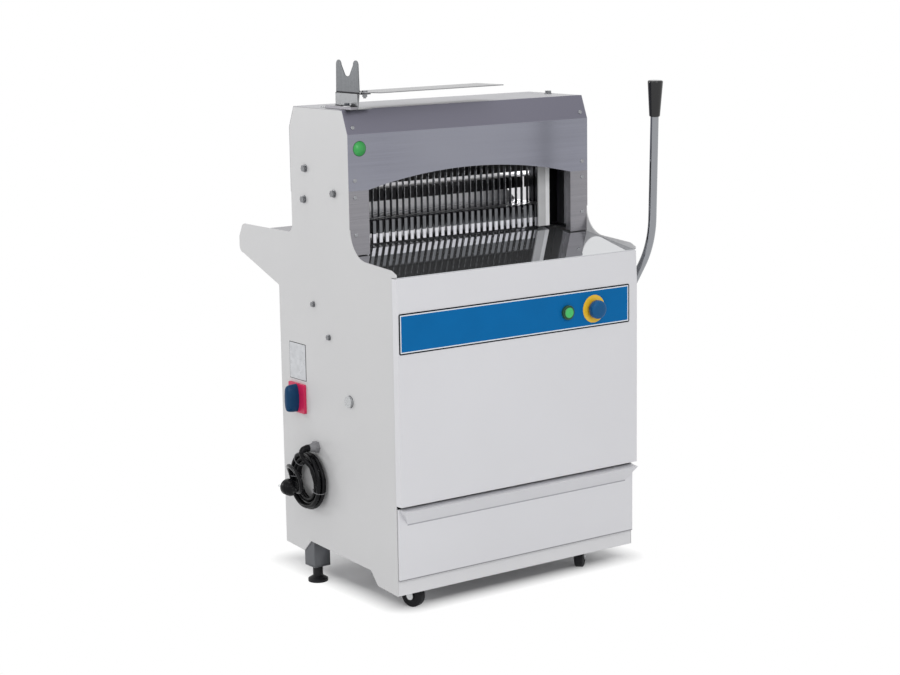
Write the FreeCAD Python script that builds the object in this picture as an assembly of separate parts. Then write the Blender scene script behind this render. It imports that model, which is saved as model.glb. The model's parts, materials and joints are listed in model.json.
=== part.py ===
"""Electric frame bread slicer with a hand feed lever, as separate sub-parts.

Millimetres. X runs to the right, Y to the back and Z up. Everything is modelled
with Y measured from the front edges of the side panels; save() then moves each
piece so that the origin stands on the floor under the middle of the machine.
"""
import FreeCAD, Part
import math
import os

os.makedirs("parts", exist_ok=True)
Vec = FreeCAD.Vector

# ---------------------------------------------------------------- body
WIDTH = 630.0                 # over the two side panels
PANEL_T = 2.5                 # side panel sheet
SHEET = 1.5                   # covers, hood, tray
PAST = 1.0                    # how far a cutting shape runs past a face
HEAD_TOP = 1043.0             # top of the head sheet
HEAD_FRONT = 149.5            # front face of the hood
HEAD_FRONT_TOP = 169.0        # where the hood's slope meets the top
HOOD_BEND = 993.0             # height of the hood's fold
HEAD_BACK_TOP = 359.0
HEAD_BACK = 379.0             # rear face of the head
HEAD_BACK_BEND = 998.0
HOOD_LAP = 8.0                # how far the hood's fold reaches over the top
APRON_Z = 860.0               # lower edge of the rear apron
SEAM_Z = 878.0                # where the hood meets the jambs
ARCH_HALF = 267.0             # half width of the hood's arched lower edge
ARCH_TOP = 909.0
HEAD_ARC_R = 60.0             # round corner between the panels' nose and head
HEAD_ARC_Z = 737.0            # height where it starts
BODY_BACK = 440.0             # rear face of the body
WING_TOP = 772.0              # top of the side panels beside the rear table
WING_END = 607.0              # rear end of the table
WING_DROP = 63.0              # height of that end, down to the sloping underside
WING_ROOT = 651.0             # where the underside meets the body's back
WING_FILLET = 19.0            # corner between head and wing
WING_TAIL = 15.0              # cut corner under the end
WING_TAIL_BOW = 3.0           # how far that cut bulges
WING_CORNER = ((24.0, 0.0), (11.0, 10.0), (16.0, 3.0), (0.0, 30.0))  # in from the end, down
PANEL_BOTTOM = 53.0
PANEL_BOTTOM_BACK = 74.0
FLOOR_ARCH = ((365.0, 69.0), (337.0, 96.0), (100.0, 86.0), (74.0, 58.0))  # Y and Z
NOSE_Z = 717.0                # underside of the panels' noses
NOSE_OUT = 16.0               # how far they reach over the front cover
NOSE_H = 8.0                  # height of their blunt tips
NOSE_RISE = 14.0              # height of the nose where it joins the panel
NOSE_ARC = (12.8, 12.0)       # where its round tip starts below and ends above, out
STIFFENER_T = 5.0             # pad inside each panel behind the small bolts
STIFFENER_Y = (230.0, 310.0)
STIFFENER_Z = (545.0, 645.0)
BIG_BOLT_R = 4.2
SMALL_BOLT_R = 3.2
SIDE_BOLTS = ((318.0, 914.0, BIG_BOLT_R), (325.0, 848.0, BIG_BOLT_R), (207.0, 869.0, BIG_BOLT_R),
              (299.0, 626.0, SMALL_BOLT_R), (240.0, 562.0, SMALL_BOLT_R))  # Y, Z, radius
RIVETS = ((300.0, 899.0), (300.0, 864.0), (300.0, 787.0))  # X and Z on each side
SLOPE_RIVET = (299.0, 15.0)   # X and distance above the fold, in the hood's slope
RIVET_R = 2.4
RIVET_HEAD = (4.6, 1.6, 1.2)  # radius, height and rounding of a rivet's head
WASHER_T = 1.6
WASHER = 2.0                  # radius of a washer, in shank radii
HEX_HEAD = (3.1, 1.25)        # bolt head: across flats and height, in shank radii
ROUND_HEAD = (2.0, 1.1)       # screw head: radius and height, in shank radii
HEX_NUT = (3.3, 1.7)          # nut: across flats and height, in shank radii
ORIGIN_Y = 273.0              # the origin's distance behind the front edges
ORIGIN_X = 2.0                # and its offset from the middle plane

# ---------------------------------------------------------------- front
COVER_OUT = 19.0              # front face of the front cover
COVER_BOTTOM = 245.0
COVER_BREAK = 652.0           # above this the cover leans back
COVER_TOP = 715.4
COVER_TOP_OUT = 15.6
FASCIA_LEFT = -313.0
FASCIA_RIGHT = 292.0
FASCIA_Z = (561.0, 645.0)
FASCIA_T = 1.0
BUTTON_X = 119.0
ESTOP_X = 192.0
CONTROL_Z = 601.0
FASCIA_CORNER = 4.0
COLLAR_TUBE_R = 11.0          # 22 mm control series
COLLAR_END = 2.0              # the tubes stop this far in front of the panels' edges
STEM_R = 8.0
STEM_GAP = 0.2
BUTTON_R = 12.0
BEZEL_R = 15.5
BEZEL_OUT = 6.0
BUTTON_OUT = 8.0
BUTTON_TRAVEL = 3.0
BUTTON_RIM = 1.2
STEM_END = 8.0                # the stems stop this far in front of the panels' edges
ESTOP_COLLAR = (14.5, 6.0)    # radius and height
ESTOP_PLATE_R = 30.0
ESTOP_PLATE_T = 1.2
MUSHROOM_R = 20.0
MUSHROOM_OUT = 28.0
MUSHROOM_T = 13.0
MUSHROOM_RIM = 4.0
CONTACT = 30.0                # width and height of a contact block
CONTACT_DEPTH = 38.0

# ---------------------------------------------------------------- drawer
DRAWER_OUT = 6.0
DRAWER_Z = (86.0, 238.0)
DRAWER_GAP = 1.0              # between its front and the panels' edges
DRAWER_BOX_X = 290.0
DRAWER_BOX_Z = (104.0, 225.0)
DRAWER_BACK = 232.0
LIP_OUT = 28.0
LIP_TOP = 236.0
LIP_BOTTOM = 204.0
LIP_END_TOP = 311.0
LIP_END_BOTTOM = 292.0
RUNNER = 14.0                 # runner height
RUNNER_FRONT = 20.0
RUNNER_OVER = 6.0             # how far the runners reach behind the drawer
RUNNER_T = 2.0
RUNNER_FOOT = 12.0            # how far their feet reach under the drawer
RUNNER_GAP = 0.3
RUNNER_WALL = (1.0, 4.0)      # their upright, out from the drawer's side

# ---------------------------------------------------------------- base
PAN_Z = 97.0                  # underside of the base pan
PAN_T = 2.0
CURB = 18.0                   # height of the pan's side curbs, and where they start
PAN_TIE = 6.0                 # fold behind the drawer's lower edge
STRIP_LIP = 14.0              # bottom lip of the front strip
CASTER_X = 238.0
CASTER_Y = 65.0
CASTER_R = 25.0
CASTER_W = 20.0
CASTER_TRAIL = 18.0
KINGPIN_R = 8.0
CASTER_TOP = 70.0             # top of the mounting plate
CASTER_PLATE = 60.0
CASTER_TURN = {-1: 20.0, 1: -48.0}  # degrees that each fork is swivelled
CUP_GAP = 3.3                 # plate to the fork's bearing cup
CUP = (20.0, 16.0, 9.0)       # lower and upper radius, height
FORK_PLATE_T = 3.0
FORK_CROWN = (20.0, 14.0, 16.0)  # the crown's reach in front, behind and to each side
CHEEK_T = 2.5
CHEEK_GAP = 1.2
CHEEK_R = 8.0
AXLE_END = 0.3                # the axle's ends outside the cheeks
KINGPIN_END = 0.33            # the kingpin's end under the plate's top
AXLE_R = 4.0
TYRE_T = 7.0
TYRE_RIM = 4.0
BEAM_WALL = 3.0               # hat channel over the casters
BEAM_MARGIN = 8.0
BEAM_END = 12.0
LEG = 40.0
LEG_Y = 348.0
LEG_BOTTOM = 41.0
LEG_WALL = 2.0
CAP_T = 5.0                   # flange of the leg's end cap
CAP_PLUG = 15.0
FOOT_PAD_R = 22.0
FOOT_PAD_H = 6.0
FOOT_CONE_H = 7.0
FOOT_NECK_R = 11.0
FOOT_GAP = 0.3
STEM_M10_R = 5.0
STEM_UP = 35.0                # the foot's thread above the leg's lower end

# ---------------------------------------------------------------- rear
REAR_INSET = 1.0              # the rear cover stands in from the panels' edges
REAR_LIP = 14.0
LOUVRE = (110.0, 6.0)         # length and height of a slot
LOUVRE_X = 130.0
LOUVRE_Z = 150.0              # the lowest slot
LOUVRE_STEP = 24.0
LOUVRES = 7
TABLE_T = 2.0
TABLE_HEM = 20.0

# ---------------------------------------------------------------- slicing head
PITCH = 16.0                  # slice thickness
FINGERS = 30
BLADES = FINGERS - 1
BED_Z = 754.0                 # top of the bed and of the rear table
BED_FRONT = 216.0
BED_BACK = 296.0
TABLE_END = 600.0
TRAY_FRONT = -14.0
TRAY_FRONT_Z = 717.5
TRAY_BACK_Z = 753.0
LINER_X = 268.0               # inner face of the mirror liners
POST_X = (234.0, 257.0)
POST_Y = (200.0, 204.0)
FRAME_X = (244.0, 260.0)      # blade frame uprights
FRAME_D = 16.0                # their depth
FRONT_FRAME_Y = 240.0
REAR_FRAME_Y = 262.0
FRAME_TOP = (955.0, 975.0)
FRAME_BOTTOM = (625.0, 645.0)
STROKE = 20.0                 # half stroke of the blade frames
BLADE_T = 0.6
BLADE_W = 8.0
BLADE_Y = 251.0               # the blades of both frames stand in one row
BLADE_GAP = 0.5               # from a blade to the other frame's bars
EAR = (10.0, 2.0)             # blade ends on the bars: height, reach past the blade's middle
SLOT_W = 3.0
SLOT_MORE = 6.0               # slots run this far past the frames, front and back
UPRIGHT_GAP = 1.5
GUIDE_GAP = 0.3
GUIDE_Y = (226.0, 276.0)
GUIDE_RISE = 4.0              # guides and posts start above the bed
GUIDE_TOP = 985.0
FIN_X = 250.0                 # how far in the guides' fins reach
POST_RISE = 2.0
POST_WEB = 3.0
LINER_FRONT_Z = 748.0         # lower front corner of the liners
LINER_RISE = 0.5
LINER_TOP = (990.0, 990.0)    # their upper corners, front and back
SPACER_R = 9.0
JAMB_Z = 744.5                # lower end of the jambs
JAMB_FULL_Z = 799.0           # above this they reach the panels' outer faces
JAMB_FLANGE = 14.0
JAMB_STEP = 3.0
TRAY_SIDE_GAP = 0.2
TRAY_BACK_GAP = 0.5
FINGER_W = 8.0
FINGER_T = 3.0
FINGER_BEND = (5.0, 3.0)      # outer and inner bend radius
FINGER_Y = 207.0
FINGER_Z = (757.0, 806.0)
PUSHER_Y = 322.0
PUSHER_T = 3.0
PUSHER_Z = (760.0, 855.0)
PUSHER_SHOULDER = (252.0, 798.0)
PUSHER_CREST = (222.0, 830.0)
PUSHER_BAR_X = 264.0          # half width of the band along its top
BRACKET_T = 6.0               # brackets that carry the plate through the table
BRACKET_Y = (316.0, 332.0)
BRACKET_TOP = 796.0
TABLE_SLOT = (3.0, 4.0)       # clearance beside and in front of a bracket

# ---------------------------------------------------------------- feed
SHAFT_Y = 165.0
SHAFT_Z = 436.0
SHAFT_R = 10.0
RUN_GAP = 0.05                # radial running clearance
BUSH_R = 13.0
BUSH_FLANGE = (20.0, 3.5)     # radius and thickness
DISC = (12.5, 5.7)            # end disc of the shaft: radius and thickness
DISC_GAP = 0.3
NECK_R = 16.0                 # collar between panel and hub
NECK_GAP = 1.0
HUB_HALF = 12.0
LEVER_X = 345.0
LEVER_R = 9.0
LEVER_CORNER = (-33.0, 728.0)
LEVER_TOP = (-41.0, 1004.0)
LEVER_BEND_R = 200.0
KNOB_L = 78.0
KNOB_R = (11.5, 16.75)
KNOB_RIM = 3.5
HUB_R = 22.0
ARM_X = 300.0
ARM_T = 6.0
ARM_HALF = 15.0
ARM_BOSS = (20.0, 8.0)        # radius and half width
ARM_SLOT = (2.0, 3.0)         # how far the slot runs below and above the pin's path
PIN_Z = 700.0
FEED_TRAVEL = 190.0
PIN_R = 6.0
PIN_GAP = 2.0
PIN_OUT = 3.0                 # the pins stand this far past the arms
ROD_X = 284.0
ROD_Z = 724.0
ROD_R = 8.0
SLIDER_Y = (295.0, 350.0)
SLIDER_HALF = 12.0
SLIDER_FOOT = 10.0
BAR_H = 22.0
BAR_HALF = 4.0
BAR_NOSE = 12.0               # bar in front of its pin
ROD_Y = (280.0, 575.0)
SUPPORT_T = 10.0
SUPPORT_HALF = 14.0
SUPPORT_DROP = 10.0

# ---------------------------------------------------------------- drive
CRANK_Y = 251.0
CRANK_Z = 330.0
CRANK_R = 12.5
SHEAVE_R = 40.0
ROD_FRONT_X = 150.0
ROD_REAR_X = 122.0            # its lugs miss the blades of the front frame
CONROD_T = 14.0
STRAP_WALL = 12.0
SHANK_HALF = 9.0
EYE_Z = 570.0                 # clears the other frame at both ends of the stroke
EYE_R = 13.0
EYE_BORE_R = 6.0
LUG_GAP = 0.5
LUG_T = 6.0
BEARING_X = 175.0
BEARING_H = 36.5              # shaft height of a pillow block
BEARING_HALF = 12.0
BEARING_FOOT = (60.0, 12.0)   # half length and thickness
BEARING_R = 30.0
BEARING_POST = 26.0
SHAFT_OVER = (22.0, 14.0)     # shaft past the left bearing and past the pulley
RAIL_W = 30.0
RAIL_H = 20.0
RAIL_FRONT = 3.0
PULLEY_X = 205.0
PULLEY_R = 80.0
MOTOR_PULLEY_R = 35.0
PULLEY_W = 18.0
GROOVE_W = 11.0
GROOVE_D = 8.0
BELT_W = 10.0
BELT_T = 7.0
BELT_GAP = 0.3
MOTOR_Y = 335.0
MOTOR_FRAME = 71.0            # IEC 71 shaft height
MOTOR_R = 69.0
MOTOR_X = (-75.0, 150.0)
MOTOR_PLATE = 6.0
MOTOR_SHAFT_R = 9.5
MOTOR_SHIELD = (30.0, 30.0)   # length and nose radius of the end shield
MOTOR_BORE = 10.0             # the shaft's bore behind the shield
MOTOR_FEET = (40.0, 50.0, 56.0, 10.0)  # in from each end, half depth, thickness
MOTOR_SADDLE = 40.0
PLATE_IN = (20.0, 30.0, 66.0)  # plate: in from each end, half depth
RIB = (6.0, 4.0, 12.0)        # depth, width and step of the cooling ribs
RIBS = 13
RIB_START = 20.0
TERMINALS = ((40.0, 120.0), (40.0, 88.0), 30.0)  # box: X from the end, Y, half height
CHUTE_FRONT = (228.0, 233.0)  # Y and Z of the crumb chute's front edge
CHUTE_BACK_Z = 271.0
CHUTE_FLANGE = 3.0
CHUTE_SLOT = (14.0, 12.0)     # notch for the belt: half width, left standing behind it
CHUTE_CUT = 8.0               # how far the notch's cutter runs past the sheet

# ---------------------------------------------------------------- left side
SWITCH_Y = 371.0
SWITCH_Z = 412.0
SWITCH_SIZE = 64.0
SWITCH_T = 6.0
SWITCH_CORNER = 3.0
SWITCH_HOLE_R = 12.0
KNOB_DISC_R = 27.0
KNOB_DISC_T = 12.0
KNOB_GAP = 0.3
KNOB_OUT = 34.0
KNOB_BAR = (8.0, 24.0, 4.0)   # half width, half length and rounding of the grip bar
SPINDLE_R = 4.0
SPINDLE_IN = 20.0
SWITCH_BOX = ((-250.0, 330.0, 355.0), (425.0, 465.0))  # inner X, low Y and Z; high Y and Z
GLAND_Y = 300.0
GLAND_Z = 315.0
GLAND_R = 12.0
GLAND_OUT = 22.0
GLAND_NECK_IN = 2.0           # how much thinner its thread is
GLAND_HEX = 8.0
GLAND_STEP = 1.0              # how much its hexagon and dome are smaller
GLAND_PAST = 4.0              # thread past its nut
GLAND_MOUTH_R = 7.5
GLAND_NUT = 6.0
CORD_R = 4.5
COIL_X = -331.0
COIL_Y = 319.0
COIL_Z = 239.0
COIL_R = 50.0
COIL_BUNDLE_R = 13.5
PLUG_X = -363.0
PLUG_Y = 374.0                # face of the plug
PLUG_Z = 224.0
PLUG_R = 18.0
PLUG_L = 58.0
PLUG_FACE_T = 24.0
PLUG_GRIP_R = (15.0, 8.0)
PIN = (2.4, 19.0, 9.5)        # radius, length and offset of the plug's pins

# ---------------------------------------------------------------- bag rack
FORK_X = -285.0
FORK_Y = (146.0, 233.0)
FORK_T = 2.0
FORK_H = 100.0                # tips above the top sheet
FORK_NOTCH = 33.0             # depth of the V between them
FORK_TIP_R = 9.5
FORK_TIP_IN = 2.0
FORK_FOOT_IN = 6.0
FORK_LEG = (150.0, 233.0)     # second plate that carries the notched one
NOTCH_HALF = 9.0
NOTCH_DIP = 3.0               # round bottom of the V
STRIP_X = (-8.0, 32.0)        # foot strip beside the plate
STRIP_Y = (152.0, 287.0)
RACK_H = 35.0                 # the scoop's tab above the top sheet
RACK_SCREW = (-272.0, 148.0)
SCOOP_END = 79.0
SCOOP_DEPTH = 88.0
SCOOP_TILT = 4.2              # degrees about the screw
SCOOP_T = 2.0
SCOOP_GAP = 0.3
SCOOP_FRONT = 30.0            # plate in front of the screw
SCOOP_NECK = (12.0, 6.0)      # where the plate starts, and how far its corners are cut
SCOOP_FOLD = (5.0, 6.0)       # depth of the front fold, and its distance from the end
TAB_HALF = 9.0
RACK_SCREW_R = 3.0
TOP_BOLT = (296.0, 264.0)
STRIP_BOLT = (-262.0, 232.0)

HALF = WIDTH / 2
INNER = HALF - PANEL_T        # inner face of the side panels
SWIVEL_Y = CASTER_Y + CASTER_TRAIL
LEG_X = INNER - LEG / 2
PIN_Y = SHAFT_Y - FEED_TRAVEL / 2  # the pusher's pins with the lever at rest
WING_UNDER = WING_TOP - WING_DROP
FORK_TOP = HEAD_TOP + FORK_H
RACK_Z = HEAD_TOP + RACK_H    # top of the scoop's tab, with its washer
SAG = 1 - math.sqrt(0.5)      # how far a quarter arc's middle cuts its corner, in radii
EDGE = HEAD_FRONT + SHEET     # the panels' front edge beside the hood
FASCIA_Y = -COVER_OUT - FASCIA_T
SIDES = (-1, 1)


# ---------------------------------------------------------------- helpers
def box(x, y, z):
    """Box between the two values of each pair, in any order."""
    low = Vec(min(x), min(y), min(z))
    return Part.makeBox(max(x) - low.x, max(y) - low.y, max(z) - low.z, low)


def rod(axis, centre, start, end, radius):
    """Cylinder along an axis; centre gives the other two coordinates in order."""
    if axis == "x":
        base, way = Vec(start, centre[0], centre[1]), Vec(1, 0, 0)
    elif axis == "y":
        base, way = Vec(centre[0], start, centre[1]), Vec(0, 1, 0)
    else:
        base, way = Vec(centre[0], centre[1], start), Vec(0, 0, 1)
    if end < start:
        way = way.negative()
    return Part.makeCylinder(radius, abs(end - start), base, way)


def cone(axis, centre, start, end, radius_start, radius_end):
    if axis == "x":
        base, way = Vec(start, centre[0], centre[1]), Vec(1, 0, 0)
    elif axis == "y":
        base, way = Vec(centre[0], start, centre[1]), Vec(0, 1, 0)
    else:
        base, way = Vec(centre[0], centre[1], start), Vec(0, 0, 1)
    if end < start:
        way = way.negative()
    return Part.makeCone(radius_start, radius_end, abs(end - start), base, way)


def rounded(plate, axis, radius):
    """Plate with the edges along one axis rounded."""
    picked = [edge for edge in plate.Edges
              if len(edge.Vertexes) == 2 and abs(abs(edge.tangentAt(0).dot(axis)) - 1) < 1e-6]
    return plate.makeFillet(radius, picked)


def softened(shape, y, radius):
    """Shape with the edges that lie in the plane at y rounded."""
    rim = [edge for edge in shape.Edges if abs(edge.BoundBox.YMax - y) < 1e-6]
    return shape.makeFillet(radius, rim)


def ring(axis, centre, start, end, outer, inner):
    return rod(axis, centre, start, end, outer).cut(rod(axis, centre, start, end, inner))


def wire(points, place):
    """Closed wire through points; a point written (u, v, mid_u, mid_v) ends an arc."""
    edges = []
    here = points[0][:2]
    for step in list(points[1:]) + [points[0][:2]]:
        there = step[:2]
        if math.dist(here, there) < 1e-6:
            continue
        if len(step) == 4:
            edges.append(Part.Arc(place(*here), place(*step[2:]), place(*there)).toShape())
        else:
            edges.append(Part.LineSegment(place(*here), place(*there)).toShape())
        here = there
    return Part.Wire(edges)


def profile_x(points, x0, x1):
    """Outline in Y and Z, drawn out along X."""
    face = Part.Face(wire(points, lambda u, v: Vec(x0, u, v)))
    return face.extrude(Vec(x1 - x0, 0, 0))


def profile_y(points, y0, y1):
    """Outline in X and Z, drawn out along Y."""
    face = Part.Face(wire(points, lambda u, v: Vec(u, y0, v)))
    return face.extrude(Vec(0, y1 - y0, 0))


def profile_z(points, z0, z1):
    """Outline in X and Y, drawn out along Z."""
    face = Part.Face(wire(points, lambda u, v: Vec(u, v, z0)))
    return face.extrude(Vec(0, 0, z1 - z0))


def strip(path, thickness):
    """Closed outline of a folded sheet: path is its outer line, walked with the
    sheet on the left."""
    inner = []
    for i, (u, v) in enumerate(path):
        ways = []
        if i > 0:
            ways.append((u - path[i - 1][0], v - path[i - 1][1]))
        if i < len(path) - 1:
            ways.append((path[i + 1][0] - u, path[i + 1][1] - v))
        normals = [(-b / math.hypot(a, b), a / math.hypot(a, b)) for a, b in ways]
        mean_u = sum(n[0] for n in normals) / len(normals)
        mean_v = sum(n[1] for n in normals) / len(normals)
        stretch = thickness / (mean_u ** 2 + mean_v ** 2)
        inner.append((u + mean_u * stretch, v + mean_v * stretch))
    return list(path) + inner[::-1]


def fuse(shapes):
    whole = shapes[0]
    if len(shapes) > 1:
        whole = whole.fuse(shapes[1:])
    return whole.removeSplitter()


def hexagon(axis, centre, start, end, across):
    """Hexagonal prism along X or Z."""
    r = across / math.sqrt(3)
    points = [(centre[0] + r * math.cos(math.radians(60 * i)),
               centre[1] + r * math.sin(math.radians(60 * i))) for i in range(6)]
    return profile_x(points, start, end) if axis == "x" else profile_z(points, start, end)


def both(make):
    return [make(side) for side in SIDES]


def save(name, shapes):
    """Move to the machine's own origin and write one STEP for the sub-part."""
    group = shapes if isinstance(shapes, list) else [shapes]
    solids = [solid.copy() for shape in group for solid in shape.Solids]
    for solid in solids:
        solid.translate(Vec(-ORIGIN_X, -ORIGIN_Y, 0))
    whole = solids[0] if len(solids) == 1 else Part.makeCompound(solids)
    whole.exportStep("parts/" + name + ".step")


def tangent_arc(before, corner, after, reach):
    """Arc that leaves the two runs at reach from the corner: start, edge, end, radius."""
    back = before.sub(corner).normalize()
    ahead = after.sub(corner).normalize()
    turn = math.pi - back.getAngle(ahead)
    radius = reach / math.tan(turn / 2)
    start = corner.add(back * reach)
    end = corner.add(ahead * reach)
    middle = corner.add(back.add(ahead).normalize() * (math.hypot(reach, radius) - radius))
    return start, Part.Arc(start, middle, end).toShape(), end, radius


def fillet_path(points, share=0.45):
    """Straight runs joined by tangent arcs; returns the wire and the radii."""
    edges = []
    radii = []
    here = points[0]
    for before, corner, after in zip(points, points[1:], points[2:]):
        reach = share * min(before.sub(corner).Length, after.sub(corner).Length)
        start, arc, end, radius = tangent_arc(before, corner, after, reach)
        edges.append(Part.LineSegment(here, start).toShape())
        edges.append(arc)
        radii.append(radius)
        here = end
    edges.append(Part.LineSegment(here, points[-1]).toShape())
    return Part.Wire(edges), radii


def sweep_round(path, radius, start, way):
    circle = Part.Wire(Part.makeCircle(radius, start, way))
    return path.makePipeShell([circle], True, False)


# ---------------------------------------------------------------- housing
def head_line():
    """Y and Z of the head's outer skin, from the rear apron over the top to the hood."""
    return [(HEAD_BACK, APRON_Z), (HEAD_BACK, HEAD_BACK_BEND), (HEAD_BACK_TOP, HEAD_TOP),
            (HEAD_FRONT_TOP, HEAD_TOP), (HEAD_FRONT, HOOD_BEND), (HEAD_FRONT, SEAM_Z)]


def panel_outline():
    """Y and Z of a side panel, from its front bottom corner round to the back."""
    arc_y = EDGE - HEAD_ARC_R
    back = HEAD_BACK - SHEET
    line = head_line()
    under_skin = strip(line, SHEET)[len(line):][1:-1]
    corner = [(WING_END - y, WING_TOP - z) for y, z in WING_CORNER]
    return [
        (0, PANEL_BOTTOM), (0, NOSE_Z), (-NOSE_ARC[0], NOSE_Z),
        (-NOSE_ARC[1], NOSE_Z + NOSE_H, -NOSE_OUT, NOSE_Z + NOSE_H / 2),
        (PAST, NOSE_Z + NOSE_RISE), (arc_y, HEAD_ARC_Z),
        (EDGE, HEAD_ARC_Z + HEAD_ARC_R, EDGE - HEAD_ARC_R * SAG, HEAD_ARC_Z + HEAD_ARC_R * SAG),
        *under_skin, (back, WING_TOP + WING_FILLET),
        (back + WING_FILLET, WING_TOP, back + WING_FILLET * SAG, WING_TOP + WING_FILLET * SAG),
        corner[0], (*corner[1], *corner[2]), corner[3],
        (WING_END, WING_UNDER + WING_TAIL),
        (WING_END - WING_TAIL, WING_UNDER - WING_TAIL_BOW,
         WING_END - WING_TAIL_BOW, WING_UNDER + WING_TAIL_BOW),
        (BODY_BACK, WING_ROOT), (BODY_BACK, PANEL_BOTTOM_BACK), *FLOOR_ARCH,
    ]


def through_panel(side, at, radius):
    """Cutter through one side panel and its stiffener."""
    return rod("x", at, side * (INNER - STIFFENER_T - PAST), side * (HALF + PAST), radius)


def side_panel(side):
    plate = profile_x(panel_outline(), side * INNER, side * HALF)
    stiffener = box((side * (INNER - STIFFENER_T), side * INNER), STIFFENER_Y, STIFFENER_Z)
    holes = [through_panel(side, (y, z), r) for y, z, r in SIDE_BOLTS]
    holes.append(through_panel(side, (SHAFT_Y, SHAFT_Z), BUSH_R))
    if side < 0:
        holes.append(through_panel(side, (GLAND_Y, GLAND_Z), GLAND_R - GLAND_NECK_IN))
        holes.append(through_panel(side, (SWITCH_Y, SWITCH_Z), SWITCH_HOLE_R))
    return fuse([plate, stiffener]).cut(holes)


def control_holes(y0, y1):
    """Cutters for the two controls, between two depths."""
    return [rod("y", (x, CONTROL_Z), y0, y1, COLLAR_TUBE_R) for x in (BUTTON_X, ESTOP_X)]


def front_cover():
    """Folded tray that closes the front, open towards the machine."""
    outer = [(-COVER_OUT, COVER_BOTTOM), (-COVER_OUT, COVER_BREAK),
             (-COVER_TOP_OUT, COVER_TOP), (0, COVER_TOP), (0, COVER_BOTTOM)]
    inner = [(-COVER_OUT + SHEET, COVER_BOTTOM + SHEET), (-COVER_OUT + SHEET, COVER_BREAK),
             (-COVER_TOP_OUT + SHEET, COVER_TOP - SHEET), (PAST, COVER_TOP - SHEET),
             (PAST, COVER_BOTTOM + SHEET)]
    shell = profile_x(outer, -HALF, HALF).cut(profile_x(inner, -HALF + SHEET, HALF - SHEET))
    return shell.cut(control_holes(-COVER_OUT - PAST, -COVER_OUT + SHEET + PAST))


def control_fascia():
    plate = box((FASCIA_LEFT, FASCIA_RIGHT), (FASCIA_Y, -COVER_OUT), FASCIA_Z)
    plate = rounded(plate, Vec(0, 1, 0), FASCIA_CORNER)
    return plate.cut(control_holes(FASCIA_Y - PAST, -COVER_OUT + PAST))


def base_pan():
    """Pan under the drawer and the motor, with the strip that shows at the front."""
    back = BODY_BACK - SHEET
    under = DRAWER_Z[0]
    plate = box((-INNER, INNER), (SHEET, back), (PAN_Z, PAN_Z + PAN_T))
    curbs = both(lambda s: box((s * INNER, s * (INNER - PAN_T)), (CURB, back), (PAN_Z, PAN_Z + CURB)))
    front = box((-INNER, INNER), (0, SHEET), (PANEL_BOTTOM, under))
    riser = box((-INNER, INNER), (SHEET, SHEET + PAN_T), (under - PAN_TIE, PAN_Z))
    tie = box((-INNER, INNER), (0, SHEET + PAN_T), (under - PAN_TIE, under))
    lip = box((-INNER, INNER), (0, STRIP_LIP), (PANEL_BOTTOM, PANEL_BOTTOM + SHEET))
    return fuse([plate, front, riser, tie, lip] + curbs)


def caster_plate(side):
    """Mounting plate of a caster, bored for its kingpin."""
    x, reach, low = side * CASTER_X, CASTER_PLATE / 2, CASTER_TOP - FORK_PLATE_T
    plate = box((x - reach, x + reach), (SWIVEL_Y - reach, SWIVEL_Y + reach), (low, CASTER_TOP))
    return plate.cut(rod("z", (x, SWIVEL_Y), low - PAST, CASTER_TOP + PAST, KINGPIN_R + RUN_GAP))


def caster_beam():
    """Hat channel under the pan, with a mounting plate for each caster."""
    reach = CASTER_PLATE / 2
    x = INNER - BEAM_END
    y0, y1 = SWIVEL_Y - reach - BEAM_MARGIN, SWIVEL_Y + reach + BEAM_MARGIN
    floor = box((-x, x), (y0, y1), (CASTER_TOP, CASTER_TOP + BEAM_WALL))
    webs = [box((-x, x), (y, y + BEAM_WALL), (CASTER_TOP, PAN_Z)) for y in (y0, y1 - BEAM_WALL)]
    return [fuse([floor] + webs)] + both(caster_plate)


def leg_box(side, inset, z0, z1):
    """Block on the leg's axis, inset from the leg's faces."""
    x = side * LEG_X
    h = LEG / 2 - inset
    return box((x - h, x + h), (LEG_Y - h, LEG_Y + h), (z0, z1))


def rear_leg(side):
    """Square tube welded under the pan against the panel."""
    return leg_box(side, 0, LEG_BOTTOM, PAN_Z).cut(leg_box(side, LEG_WALL, LEG_BOTTOM, PAN_Z))


def leg_cap(side):
    """Plastic end cap with the nut thread of the foot."""
    flange = leg_box(side, 0, LEG_BOTTOM - CAP_T, LEG_BOTTOM)
    plug_in = leg_box(side, LEG_WALL, LEG_BOTTOM, LEG_BOTTOM + CAP_PLUG)
    bore = rod("z", (side * LEG_X, LEG_Y), LEG_BOTTOM - CAP_T - PAST, LEG_BOTTOM + CAP_PLUG + PAST,
               STEM_M10_R + RUN_GAP)
    return fuse([flange, plug_in]).cut(bore)


def foot(side):
    at = (side * LEG_X, LEG_Y)
    cone_top = FOOT_PAD_H + FOOT_CONE_H
    cap = LEG_BOTTOM - CAP_T
    pad = rod("z", at, 0, FOOT_PAD_H, FOOT_PAD_R)
    shoulder = cone("z", at, FOOT_PAD_H, cone_top, FOOT_PAD_R, FOOT_NECK_R)
    neck = rod("z", at, cone_top, cap - FOOT_GAP, FOOT_NECK_R)
    stem = rod("z", at, cap - PAST, LEG_BOTTOM + STEM_UP, STEM_M10_R)
    return fuse([pad, shoulder, neck, stem])


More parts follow.
